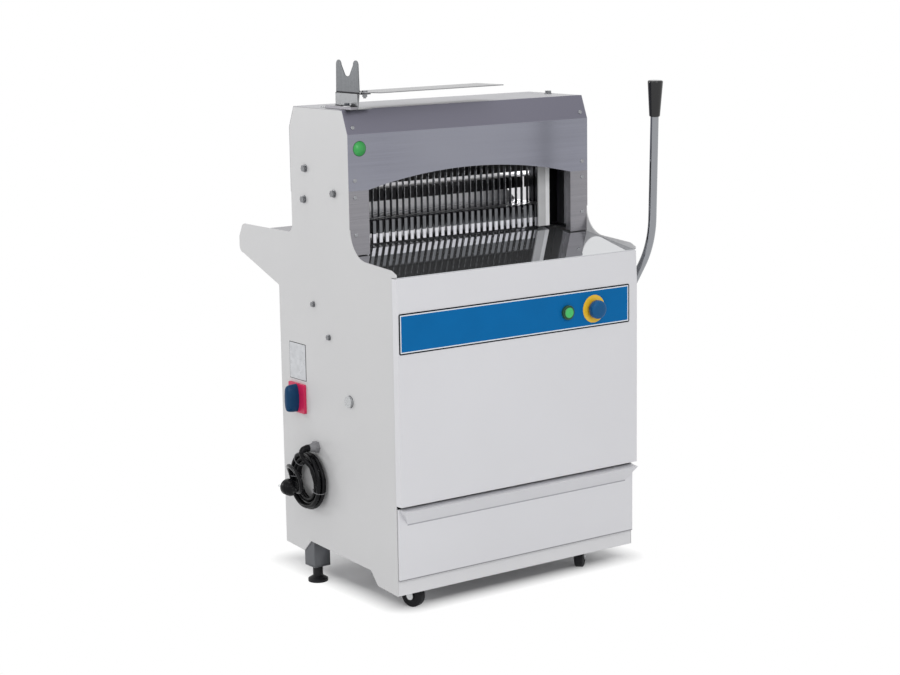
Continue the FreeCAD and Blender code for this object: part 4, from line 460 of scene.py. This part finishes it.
FINISHES = {finish.name: finish for finish in (
    painted("panel_white", (0.60, 0.60, 0.605)),
    painted("cover_white", COVER_WHITE),
    brushed("stainless", (0.27, 0.265, 0.285), 0.34),
    polished("mirror_steel", (0.66, 0.67, 0.69)),
    brushed("blade_steel", (0.55, 0.56, 0.58), 0.22, "z"),
    metal("zinc_steel", (0.50, 0.51, 0.52), 0.30),
    painted("frame_grey", (0.10, 0.105, 0.115), 0.5),
    cast("cast_parts", (0.045, 0.05, 0.06)),
    metal("light_alloy", (0.55, 0.56, 0.58), 0.35, 90.0),
    cast("motor_grey", (0.10, 0.125, 0.15), 0.5),
    moulded("belt_rubber", (0.016, 0.016, 0.016), 0.75),
    moulded("tyre_black", BLACK, 0.62, 0.00006, Specular_IOR_Level=0.2),
    moulded("black_plastic", BLACK, 0.5, Specular_IOR_Level=0.2),
    moulded("black_gloss", (0.008, 0.008, 0.009), 0.14, 0.00001),
    moulded("white_plastic", (0.52, 0.52, 0.525), 0.4),
    printed_fascia(),
    moulded("green_plastic", (0.018, 0.36, 0.105), 0.3),
    moulded("yellow_plastic", (0.85, 0.52, 0.03), 0.38),
    moulded("blue_plastic", (0.008, 0.092, 0.24), 0.34, Specular_IOR_Level=0.15),
    moulded("red_plate", (0.60, 0.012, 0.085), 0.35),
    moulded("navy_plastic", (0.002, 0.042, 0.115), 0.32, Specular_IOR_Level=0.2),
    moulded("grey_plastic", (0.21, 0.21, 0.22), 0.42, Specular_IOR_Level=0.25),
    moulded("cord_black", (0.005, 0.005, 0.006), 0.26, Specular_IOR_Level=0.12),
    # bright white: painted light on the posts' flanges, painted highlight on the foot's washer
    moulded("post_flange", (0.86, 0.86, 0.87), 0.35),
    brushed("scoop_steel", (0.29, 0.29, 0.30), 0.28),
    moulded("sticker_green", (0.035, 0.36, 0.075), 0.35),
    moulded("dark_green", (0.012, 0.10, 0.03), 0.35),
)}

# Nodes with a finish of their own in place of their slot's.
NODE_FINISHES = {
    "front_hood": hood_sheet(),
    "fork_bracket": fork_sheet(),
    "pusher_fingers": finger_steel(),
    "pusher_plate": pusher_sheet(),
    "top_cover": top_sheet(),
    "outfeed_tray": polished("tray_mirror", (0.60, 0.61, 0.63), 0.04, 0.92),
    "drawer_front": drawer_coat(),
    "lever_tube": polished("lever_chrome", (0.30, 0.31, 0.33), 0.12),
    "blade_frame_front": brushed("blade_front", BLADE_GREY, 0.30, "z"),
    "blade_frame_rear": brushed("blade_rear", BLADE_GREY, 0.30, "z"),
    "control_collars": collar_rings(),
    "inner_liners": liner_sheet(),
    "base_pan": painted("strip_white", (0.70, 0.70, 0.715)),
    "panel_bolts": metal("bolt_steel", (0.24, 0.245, 0.255), 0.24),
    "hood_rivets": metal("rivet_steel", (0.30, 0.305, 0.32), 0.22),
    "button_cap": button_lens(),
    "slotted_bed": brushed("bed_sheet", (0.05, 0.05, 0.055), 0.35),
}

# Rounded edges of the CAD nodes; the rest keep theirs.
EDGE_ROUNDING = {
    0.0008: ("side_panel_left", "side_panel_right", "front_cover", "drawer_front", "top_cover",
             "front_hood", "jambs", "base_pan", "rear_cover", "outfeed_tray", "infeed_table"),
    0.0004: ("control_fascia", "estop_plate", "switch_plate", "fork_bracket", "bag_scoop",
             "pusher_plate", "pusher_fingers", "slotted_bed", "inner_liners", "drawer_runners",
             "control_collars", "panel_bolts", "electric_boxes", "blade_guides", "pusher_carriage",
             "crank_rails", "crumb_chute", "rear_legs", "caster_beam", "caster_fork_left",
             "caster_fork_right", "foot_left", "foot_right", "cable_gland", "feed_shaft",
             "bearings", "motor", "conrods_front", "conrods_rear", "drawer_box"),
}


def dress_nodes():
    """Each CAD node gets its finish, and soft edges where listed."""
    for row in frame["record"]["subparts"]:
        piece = nodes[row["node"]]
        finish = NODE_FINISHES.get(row["node"], FINISHES[row["material_slot"]])
        for holder in piece.material_slots:
            holder.material = finish.made
    for width, names in EDGE_ROUNDING.items():
        for name in names:
            piece = nodes[name]
            piece.modifiers.new("weld", "WELD").merge_threshold = WELD_GAP
            flat = piece.modifiers.new("flat", "DECIMATE")
            flat.decimate_type = "DISSOLVE"
            flat.angle_limit = math.radians(FLAT_ANGLE)
            bevelled(piece, width, angle=EDGE_ANGLE)


# ---------------------------------------------------------------- building pieces
LEAST_R = 1e-5                # stands for no radius in a turned shape
CORNER_STEPS = 6
BOX_FACES = ((0, 1, 3, 2), (4, 6, 7, 5), (0, 4, 5, 1), (2, 3, 7, 6), (0, 2, 6, 4), (1, 5, 7, 3))


def add(name, mesh, slot, body, *stands_for):
    """New piece of one mesh with its finish, riding on its body."""
    piece = bpy.data.objects.new(name, mesh)
    scene.collection.objects.link(piece)
    mesh.materials.append(FINISHES[slot].made)
    if stands_for:
        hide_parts(*stands_for)
    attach(piece, body)
    return piece


def circle(count):
    """Cosine and sine at that many even steps round."""
    return [(math.cos(2 * math.pi * i / count), math.sin(2 * math.pi * i / count))
            for i in range(count)]


def add_tube(made, rings, closed=False):
    """Quads through rings of points, capped at both ends unless closed."""
    loops = [[made.verts.new(p) for p in ring] for ring in rings]
    pairs = list(zip(loops, loops[1:]))
    if closed:
        pairs.append((loops[-1], loops[0]))
    for low, high in pairs:
        for i in range(len(low)):
            j = (i + 1) % len(low)
            made.faces.new((low[i], low[j], high[j], high[i]))
    if not closed:
        made.faces.new(loops[0][::-1])
        made.faces.new(loops[-1])


def finished(name, made, smooth=False):
    """Mesh of what was made, its faces turned outwards."""
    bmesh.ops.recalc_face_normals(made, faces=made.faces)
    for face in made.faces:
        face.smooth = smooth
    mesh = bpy.data.meshes.new(name)
    made.to_mesh(mesh)
    made.free()
    return mesh


def rings_mesh(name, rings, closed=False, smooth=True):
    """Mesh of one tube through rings of points."""
    made = bmesh.new()
    add_tube(made, rings, closed)
    return finished(name, made, smooth)


def turned(name, profile, place, axis, count=48):
    """Turned shape: profile of (distance along the axis, radius) from place."""
    axis = Vector(axis).normalized()
    side = axis.orthogonal().normalized()
    up = axis.cross(side)
    rings = []
    for along, radius in profile:
        centre = Vector(place) + axis * along
        rings.append([centre + (side * u + up * v) * max(radius, LEAST_R)
                      for u, v in circle(count)])
    return rings_mesh(name, rings)


def plate_mesh(name, outline, front, back):
    """Flat plate between two copies of an outline: front and back place its points."""
    rings = [[front(p) for p in outline], [back(p) for p in outline]]
    return rings_mesh(name, rings, smooth=False)


def boxes_mesh(name, boxes):
    """Closed boxes, each given as its X, Y and Z ranges."""
    made = bmesh.new()
    for (x0, x1), (y0, y1), (z0, z1) in boxes:
        corners = [made.verts.new((x, y, z)) for x in (x0, x1) for y in (y0, y1) for z in (z0, z1)]
        for face in BOX_FACES:
            made.faces.new([corners[i] for i in face])
    return finished(name, made)


def round_rectangle(half_u, half_v, radius):
    """Outline with CORNER_STEPS steps round each corner."""
    points = []
    for quarter, (su, sv) in enumerate(((1, 1), (-1, 1), (-1, -1), (1, -1))):
        for i in range(CORNER_STEPS + 1):
            a = math.pi / 2 * (quarter + i / CORNER_STEPS)
            points.append((su * (half_u - radius) + radius * math.cos(a),
                           sv * (half_v - radius) + radius * math.sin(a)))
    return points


def bevelled(piece, width, angle=40.0):
    """Rounded edges; the weighted normals keep large faces flat."""
    bevel = piece.modifiers.new("edges", "BEVEL")
    bevel.width = width
    bevel.segments = 2
    bevel.angle_limit = math.radians(angle)
    piece.data.shade_smooth()
    piece.modifiers.new("normals", "WEIGHTED_NORMAL").weight = 100
    return piece


# ---------------------------------------------------------------- camera
def make_camera():
    forward = Vector((math.sin(CAMERA_YAW) * math.cos(CAMERA_PITCH),
                      math.cos(CAMERA_YAW) * math.cos(CAMERA_PITCH), -math.sin(CAMERA_PITCH)))
    level = Vector((math.cos(CAMERA_YAW), -math.sin(CAMERA_YAW), 0))
    down = forward.cross(level)
    right = level * math.cos(CAMERA_ROLL) + down * math.sin(CAMERA_ROLL)
    up = level * math.sin(CAMERA_ROLL) - down * math.cos(CAMERA_ROLL)
    data = bpy.data.cameras.new("camera")
    data.lens = CAMERA_LENS
    data.sensor_fit = "HORIZONTAL"
    data.shift_y = CAMERA_SHIFT_Y
    data.clip_end = CAMERA_CLIP
    camera = bpy.data.objects.new("camera", data)
    camera.matrix_world = Matrix.Translation(CAMERA_PLACE) @ Matrix(
        [(right[i], up[i], -forward[i]) for i in range(3)]).to_4x4()
    scene.collection.objects.link(camera)
    scene.camera = camera


# ---------------------------------------------------------------- mains lead
def eased(share):
    """0 to 1, slow at both ends."""
    share = max(0.0, min(1.0, share))
    return share * share * (3 - 2 * share)


def coil_point(angle):
    """Control point at that many degrees round the coil, counted on through the turns."""
    turn = math.radians(angle)
    slack = 1 + math.cos(turn - math.radians(STRAND_LOOSEST))
    off = STRAND_STEP + STRAND_LOOSE * slack
    if angle < COIL_LEAVES:
        number = round((angle - COIL_START) * COIL_POINTS / 360)
        off = STRAND_FIRST[number] if number < len(STRAND_FIRST) else 0.0
        place = STRAND_UP
    elif angle < COIL_OUT:
        off *= eased((angle - COIL_LEAVES) / (COIL_OUT - COIL_LEAVES))
        place = STRAND_FREE
    elif angle < COIL_SETTLED:
        settle = eased((angle - COIL_OUT) / (COIL_SETTLED - COIL_OUT))
        place = STRAND_FREE + (STRAND_PLACE - STRAND_FREE) * settle
    else:
        place = STRAND_PLACE + (angle - COIL_DRIFTS) / STRAND_DRIFT
    bundle = math.radians(place)
    reach = COIL_R / math.cos(math.pi / COIL_POINTS) + off * math.cos(bundle)
    return COIL_CENTRE + Vector((-off * math.sin(bundle),
                                 reach * math.cos(turn), reach * math.sin(turn)))


def coil_points():
    points = []
    angle = COIL_START
    while angle <= COIL_END:
        points.append(coil_point(angle))
        angle += 360 / COIL_POINTS
    return points


def make_cord():
    points = CORD_LEAD + coil_points() + CORD_TAIL
    curve = bpy.data.curves.new("mains_lead", "CURVE")
    curve.dimensions = "3D"
    spline = curve.splines.new("NURBS")
    spline.points.add(len(points) - 1)
    for target, point in zip(spline.points, points):
        target.co = (*point, 1)
    spline.order_u = 3
    spline.use_endpoint_u = True
    spline.resolution_u = 6
    curve.bevel_depth = CORD_R
    curve.bevel_resolution = 5
    curve.use_fill_caps = True
    curve.materials.append(FINISHES["cord_black"].made)
    piece = bpy.data.objects.new("mains_lead", curve)
    scene.collection.objects.link(piece)
    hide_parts("cord_lead", "cord_coil")
    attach(piece, "machine")
    return piece


def centre_line(cord):
    """Points along the cord's own spline."""
    bare = cord.data.copy()
    bare.bevel_depth = 0
    holder = bpy.data.objects.new("bare", bare)
    mesh = bpy.data.meshes.new_from_object(holder)
    points = [v.co.copy() for v in mesh.vertices]
    bpy.data.objects.remove(holder)
    bpy.data.meshes.remove(mesh)
    bpy.data.curves.remove(bare)
    return points


def make_relief(line):
    """Tapered ribbed sleeve on the first stretch of the lead."""
    rings = []
    gone = 0.0
    side = Vector((0, 1, 0))
    for here, there in zip(line, line[1:]):
        if gone > RELIEF_LENGTH:
            break
        way = (there - here).normalized()
        across = (side - way * side.dot(way)).normalized()
        up = way.cross(across)
        share = gone / RELIEF_LENGTH
        rib = RELIEF_RIB if len(rings) % 3 == 1 else 0.0
        radius = RELIEF_R[0] + (RELIEF_R[1] - RELIEF_R[0]) * share + rib
        rings.append([here + (across * u + up * v) * radius for u, v in circle(RELIEF_POINTS)])
        gone += (there - here).length
    return add("lead_relief", rings_mesh("lead_relief", rings), "cord_black", "machine")


def make_tie(number, angle, radius):
    """Wire tie: a ring round the bundle of turns at one place of the coil."""
    out = Vector((0, math.cos(math.radians(angle)), math.sin(math.radians(angle))))
    side = Vector((1, 0, 0))
    along = side.cross(out)
    middle = COIL_CENTRE + out * COIL_R
    rings = []
    for u, v in circle(TIE_POINTS[0]):
        way = side * u + out * v
        rings.append([middle + way * (radius + TIE_R * c) - along * TIE_R * s
                      for c, s in circle(TIE_POINTS[1])])
    name = "coil_tie_%d" % number
    add(name, rings_mesh(name, rings, closed=True), "grey_plastic", "machine")


# ---------------------------------------------------------------- small pieces
# A SHAPE is the profile of a turned piece: distance along its axis, radius there.
POST_X = {-1: (0.234, 0.2465), 1: (0.216, 0.2365)}    # guard posts, from the middle outwards
POST_T = 0.004
POST_FLANGE_X = {-1: (0.2465, 0.257), 1: (0.2365, 0.247)}  # flange beside each, painted brighter: painted light
POST_FLANGE_PROUD = 0.0004    # it stands this far before the post
GUIDE_X = (0.2603, 0.268)     # back of the black guides
GUIDE_Y = (0.026, 0.076)      # which stand behind the posts
GUIDE_FINS = ((0.026, 0.0317, 0.244), (0.0483, 0.0537, 0.250), (0.0703, 0.076, 0.250))
GUIDE_FOOT = 0.002            # and end this far above the posts' foot
GUIDE_EDGE = 0.0004           # rounding of posts, flanges and guides
SCOOP_SCREW = (-0.274, -0.125)
SCOOP_END = 0.351             # from the screw to the scoop's far end
SCOOP_Y = (-0.030, 0.058)     # its sides, from the screw
SCOOP_NECK = (0.012, 0.018)   # the tongue ends at the first, the full width starts at the second
SCOOP_TONGUE = 0.009          # radius of the tongue's end
SCOOP_STEPS = 12              # round that end
SCOOP_T = 0.002
SCOOP_EDGE = 0.0005
SCOOP_TILT = 4.2
FOOT_X = (-0.3075, -0.2953, -0.2912)  # bar before the fork: outer edge, foot strip, plate
FOOT_Y = (-0.123, -0.027)
FOOT_Z = (1.0431, 1.0452, 1.0492)     # top sheet, foot strip, top of the bar
# black strips of painted shadow: at the base of the fork's plate and along the bar's foot
FOOT_SHADOW_STRIPS = (((-0.2924, -0.2912), (-0.123, -0.041), (1.0492, 1.0510)),
              ((-0.3081, -0.2953), (-0.1234, -0.027), (1.0431, 1.0439)))
FOOT_BOLT = (-0.3000, -0.097)
FOOT_WASHER_SHAPE = ((0, 0.0068), (0.0012, 0.0068), (0.0015, 0.0064), (0.0015, 0.0))
FOOT_BOLT_SHAPE = ((0.0015, 0.0060), (0.0062, 0.0060), (0.0070, 0.0052), (0.0070, 0.0))
PUSHER_FLANGE = (0.092, 0.0015)  # depth and thickness
PUSHER_FLANGE_IN = 0.004      # it ends this far inside the plate and its corners are as round
BLADES = 29
PITCH = 0.016
BLADE_EDGE_Y = -0.026         # front edges of the blades
TEETH_Y = (0.0006, -0.0004)   # back and front of the ground edges, from there
TEETH_Z = (0.700, 0.905)
TEETH_HALF = 0.00022          # half their thickness
TOOTH = (0.0125, 0.0009)      # pitch and depth of the scallops
TOOTH_STEPS = 6
PANEL_X = -0.317              # outer face of the left panel
RATING_PLATE = (0.097, 0.492)
RATING_CORNER = 0.0015
STICKER = (-0.289, -0.1235, 0.964)
DISC_SHAPE = ((0, 0.0235), (0.006, 0.0245), (0.0095, 0.0238), (0.0115, 0.0215), (0.0125, 0.0))
GRIP_RINGS = (                # share of the knob's reach, half width and half height
    (0.20, 0.0120, 0.0305), (0.55, 0.0118, 0.0310), (0.80, 0.0110, 0.0304),
    (0.94, 0.0088, 0.0280), (0.995, 0.0050, 0.0235))
GRIP_POWER = 0.9              # below 1 the rings are fuller than an ellipse
GRIP_POINTS = 40
MUSHROOM_SHAPE = (
    (-0.010, 0.0078), (0.0115, 0.0078), (0.0115, 0.0163), (0.0068, 0.0165), (0.0063, 0.0191),
    (0.0072, 0.0198), (0.0150, 0.0200), (0.0178, 0.0195), (0.0198, 0.0180), (0.0211, 0.0152),
    (0.0219, 0.0110), (0.0223, 0.0055), (0.0224, 0.0))
PLUG_SHAPE = (
    (-0.002, 0.0046), (0.000, 0.0060), (0.004, 0.0066), (0.0060, 0.0098), (0.0095, 0.0142),
    (0.0130, 0.0163), (0.0170, 0.0170), (0.0176, 0.0177), (0.0340, 0.0178), (0.0356, 0.0172),
    (0.0360, 0.0158), (0.0340, 0.0152), (0.0340, 0.0))
PIN_SHAPE = ((0.030, 0.0024), (0.0520, 0.0024), (0.0535, 0.0020), (0.0542, 0.0010))
PIN_APART = 0.0095            # each pin from the plug's axis


def make_teeth(name, body, numbers):
    """Ground scalloped edge in front of each blade of one frame."""
    low, top = TEETH_Z
    count = round((top - low) / TOOTH[0] * TOOTH_STEPS)
    made = bmesh.new()
    for number in numbers:
        x = OFFSET_X + PITCH * (number - (BLADES - 1) / 2)
        line = [(BLADE_EDGE_Y + TEETH_Y[0], low), (BLADE_EDGE_Y + TEETH_Y[0], top)]
        for i in range(count + 1):
            depth = TOOTH[1] * abs(math.sin(math.pi * i / TOOTH_STEPS))
            line.append((BLADE_EDGE_Y + TEETH_Y[1] - depth, top - (top - low) * i / count))
        add_tube(made, [[(x + side, y, z) for y, z in line] for side in (-TEETH_HALF, TEETH_HALF)])
    add(name, finished(name, made), "blade_steel", body)


def make_rating_plate():
    """Bare plate on the left panel, with a dark edge."""
    def on_panel(p, out):
        return (PANEL_X - out, RATING_PLATE[0] + p[0], RATING_PLATE[1] + p[1])

    for name, half, out, slot in (
            ("rating_plate_edge", (0.0335, 0.0405), 0.0003, "black_plastic"),
            ("rating_plate", (0.0322, 0.0392), 0.0007, "light_alloy")):
        outline = round_rectangle(*half, RATING_CORNER)
        mesh = plate_mesh(name, outline, lambda p: on_panel(p, out), lambda p: on_panel(p, 0.0))
        add(name, mesh, slot, "machine")


def make_sticker():
    """Bare round sticker on the hood: green field, darker ring."""
    for name, radius, out, slot in (("hood_sticker_ring", 0.0160, 0.0002, "dark_green"),
                                    ("hood_sticker", 0.0148, 0.0004, "sticker_green")):
        profile = [(0, radius), (out, radius)]
        add(name, turned(name, profile, STICKER, (0, -1, 0)), slot, "machine")


def make_knob():
    """Cam switch knob: low disc and a rounded grip across it."""
    low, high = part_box("switch_knob")
    face = high[0]
    centre = ((low[1] + high[1]) / 2, (low[2] + high[2]) / 2)
    reach = face - low[0]
    mesh = turned("knob_disc", DISC_SHAPE, (face, *centre), (-1, 0, 0))
    add("knob_disc", mesh, "navy_plastic", "main_switch", "switch_knob")
    ring = [[math.copysign(abs(part) ** GRIP_POWER, part) for part in point]
            for point in circle(GRIP_POINTS)]
    rings = [[(face - reach * share, centre[0] + half_y * u, centre[1] + half_z * v)
              for u, v in ring] for share, half_y, half_z in GRIP_RINGS]
    grip = add("knob_grip", rings_mesh("knob_grip", rings), "navy_plastic", "main_switch")
    grip.modifiers.new("round", "SUBSURF").levels = 1


def make_mushroom():
    """Domed mushroom head with a hollow underside, on its stem."""
    low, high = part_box("estop_mushroom")
    centre = ((low[0] + high[0]) / 2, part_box("estop_plate")[0][1], (low[2] + high[2]) / 2)
    mesh = turned("mushroom_head", MUSHROOM_SHAPE, centre, (0, -1, 0), count=64)
    add("mushroom_head", mesh, "blue_plastic", "emergency_stop", "estop_mushroom")


def mirrored(side, x0, x1):
    """X range on one side, from two distances off the middle plane."""
    return tuple(sorted((OFFSET_X + side * x0, OFFSET_X + side * x1)))


def make_guides():
    """White guard posts with a flange painted bright (painted light), and the black guides behind
    them.
    """
    low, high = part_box("blade_guides")
    face = low[1]
    whole = (low[2], high[2])
    raised = (low[2] + GUIDE_FOOT, high[2])
    for side, name in ((-1, "left"), (1, "right")):
        post = [(mirrored(side, *POST_X[side]), (face, face + POST_T), whole)]
        # the flange takes the brighter white: painted light
        flange = [(mirrored(side, *POST_FLANGE_X[side]),
                   (face - POST_FLANGE_PROUD, face + GUIDE_Y[0]), whole)]
        guide = [(mirrored(side, *GUIDE_X), (face + GUIDE_Y[0], face + GUIDE_Y[1]), raised)]
        for start, end, reach in GUIDE_FINS:
            guide.append((mirrored(side, reach, GUIDE_X[0]), (face + start, face + end), raised))
        for kind, boxes, slot in (("post", post, "white_plastic"),
                                  ("flange", flange, "post_flange"),
                                  ("guide", guide, "black_plastic")):
            label = "%s_%s" % (kind, name)
            piece = add(label, boxes_mesh(label, boxes), slot, "machine", "blade_guides")
            bevelled(piece, GUIDE_EDGE)


def make_scoop():
    """Flat rest for the bag: thin sheet with its corners cut and a tongue round the screw."""
    outline = [(SCOOP_TONGUE * math.cos(a), SCOOP_TONGUE * math.sin(a))
               for a in (math.pi * (0.5 + i / SCOOP_STEPS) for i in range(SCOOP_STEPS + 1))]
    outline += [(SCOOP_NECK[0], -SCOOP_TONGUE), (SCOOP_NECK[1], SCOOP_Y[0]),
                (SCOOP_END, SCOOP_Y[0]), (SCOOP_END, SCOOP_Y[1]),
                (SCOOP_NECK[1], SCOOP_Y[1]), (SCOOP_NECK[0], SCOOP_TONGUE)]
    turn = math.radians(SCOOP_TILT)
    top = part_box("bag_scoop")[1][2]

    def place(p, z):
        return (SCOOP_SCREW[0] + p[0] * math.cos(turn) - p[1] * math.sin(turn),
                SCOOP_SCREW[1] + p[0] * math.sin(turn) + p[1] * math.cos(turn), z)

    mesh = plate_mesh("scoop_sheet", outline,
                      lambda p: place(p, top), lambda p: place(p, top - SCOOP_T))
    bevelled(add("scoop_sheet", mesh, "scoop_steel", "bag_scoop", "bag_scoop"), SCOOP_EDGE)


def make_plug():
    """Short two-pole plug: boot, body with a collar, recessed face and two pins."""
    start = Vector(CORD_TAIL[-1])
    mesh = turned("plug_body", PLUG_SHAPE, start, (0, 1, 0), count=56)
    pieces = [add("plug_body", mesh, "cord_black", "machine", "plug")]
    for number, side in enumerate((-1, 1)):
        place = start + Vector((side * PIN_APART, 0, 0))
        mesh = turned("plug_pin", PIN_SHAPE, place, (0, 1, 0), count=20)
        pieces.append(add("plug_pin_%d" % number, mesh, "zinc_steel", "machine"))
    return pieces


def make_foot():
    """Bar before the fork's lower plate, black strips of painted shadow, and the bolt that holds
    it on its washer.
    """
    x0, x1, x2 = FOOT_X
    z0, z1, z2 = FOOT_Z
    bar = (((x0, x1), FOOT_Y, (z0, z1)), ((x0, x2), FOOT_Y, (z1, z2)))
    for name, boxes, slot in (("foot_bar", bar, "stainless"),
                              ("foot_shadow_strips", FOOT_SHADOW_STRIPS, "black_plastic")):
        add(name, boxes_mesh(name, boxes), slot, "machine")
    # the washer's bright white is a painted highlight
    for name, shape, count, slot in (("foot_washer", FOOT_WASHER_SHAPE, 36, "post_flange"),
                                     ("foot_bolt", FOOT_BOLT_SHAPE, 6, "cast_parts")):
        add(name, turned(name, shape, (*FOOT_BOLT, z2), (0, 0, 1), count), slot, "machine")


def make_flange():
    """Stiffening flange folded back from the top of the pusher's plate."""
    low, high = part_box("pusher_plate")
    half = (high[0] - low[0]) / 2 - PUSHER_FLANGE_IN
    middle = ((high[0] + low[0]) / 2, high[1] + PUSHER_FLANGE[0] / 2)
    outline = round_rectangle(half, PUSHER_FLANGE[0] / 2, PUSHER_FLANGE_IN)

    def place(p, z):
        return (middle[0] + p[0], middle[1] + p[1], z)

    mesh = plate_mesh("pusher_flange", outline,
                      lambda p: place(p, high[2]), lambda p: place(p, high[2] - PUSHER_FLANGE[1]))
    add("pusher_flange", mesh, "stainless", "pusher")


# ---------------------------------------------------------------- the machine
make_camera()
dress_nodes()
cord = make_cord()
relief = make_relief(centre_line(cord))
[relief] + make_plug()
for number, (angle, radius) in enumerate(TIES):
    make_tie(number, angle, radius)
make_teeth("front_teeth", "blade_frame_front", range(0, BLADES, 2))
make_teeth("rear_teeth", "blade_frame_rear", range(1, BLADES, 2))
make_rating_plate()
make_sticker()
make_knob()
make_mushroom()
make_flange()
make_guides()
make_scoop()
make_foot()


# ---------------------------------------------------------------- floor, world, lights
def white_for_view(tree, shaded):
    """Mix shader, and its factor, that is 1 to camera, glossy and transmission rays."""
    light_path = tree.nodes.new("ShaderNodeLightPath")
    seen = light_path.outputs["Is Camera Ray"]
    for ray in ("Is Glossy Ray", "Is Transmission Ray"):
        either = tree.nodes.new("ShaderNodeMath")
        either.operation = "MAXIMUM"
        tree.links.new(seen, either.inputs[0])
        tree.links.new(light_path.outputs[ray], either.inputs[1])
        seen = either.outputs[0]
    mixed = tree.nodes.new("ShaderNodeMixShader")
    tree.links.new(seen, mixed.inputs[0])
    tree.links.new(shaded, mixed.inputs[1])
    return mixed, seen


def make_world():
    world = bpy.data.worlds.new("studio")
    world.use_nodes = True
    tree = world.node_tree
    ambient = tree.nodes["Background"]
    ambient.inputs["Color"].default_value = (1, 1, 1, 1)
    ambient.inputs["Strength"].default_value = AMBIENT
    backdrop = tree.nodes.new("ShaderNodeBackground")
    backdrop.inputs["Color"].default_value = (1, 1, 1, 1)
    mixed, _ = white_for_view(tree, ambient.outputs[0])
    tree.links.new(backdrop.outputs[0], mixed.inputs[2])
    tree.links.new(mixed.outputs[0], tree.nodes["World Output"].inputs["Surface"])
    scene.world = world


def floor_material():
    """Pale floor, shaded under the machine, that runs out into the white backdrop."""
    finish = Finish("floor", (0.80, 0.80, 0.805), 0.9)
    finish.shade(finish.noise(3.0), 0.004)
    tree = finish.tree
    white = tree.nodes.new("ShaderNodeEmission")
    mixed, seen = white_for_view(tree, finish.shader.outputs[0])
    tree.links.new(white.outputs[0], mixed.inputs[2])
    gaps = []
    for axis, (low, high) in enumerate((SHADE_X, SHADE_Y)):
        off = finish.math("SUBTRACT", finish.coordinate(axis), (low + high) / 2)
        inside = (high - low) / 2 - SHADE_SOFT
        beyond = finish.math("SUBTRACT", finish.math("ABSOLUTE", off), inside)
        gaps.append(finish.math("MAXIMUM", beyond, 0.0))
    far = finish.spread(finish.length(gaps), 0, 1, 0.0, 2 * SHADE_SOFT)
    tree.links.new(finish.math("MULTIPLY", far, seen), mixed.inputs[0])
    tree.links.new(mixed.outputs[0], tree.nodes["Material Output"].inputs["Surface"])
    return finish.made


def make_floor():
    ring = [(FLOOR_R * u, FLOOR_R * v) for u, v in circle(FLOOR_POINTS)]
    mesh = plate_mesh("floor", ring, lambda p: (*p, -FLOOR_T), lambda p: (*p, 0.0))
    floor = bpy.data.objects.new("floor", mesh)
    floor.data.materials.append(floor_material())
    scene.collection.objects.link(floor)


def make_lights():
    for number, (place, aim, size, power) in enumerate(LAMPS):
        data = bpy.data.lights.new("softbox_%d" % number, "AREA")
        data.size = size
        data.energy = power
        lamp = bpy.data.objects.new(data.name, data)
        lamp.location = place
        lamp.rotation_euler = (Vector(aim) - Vector(place)).to_track_quat("-Z", "Y").to_euler()
        scene.collection.objects.link(lamp)


make_world()
make_floor()
make_lights()

scene.view_settings.view_transform = "Standard"
bpy.context.view_layer.update()
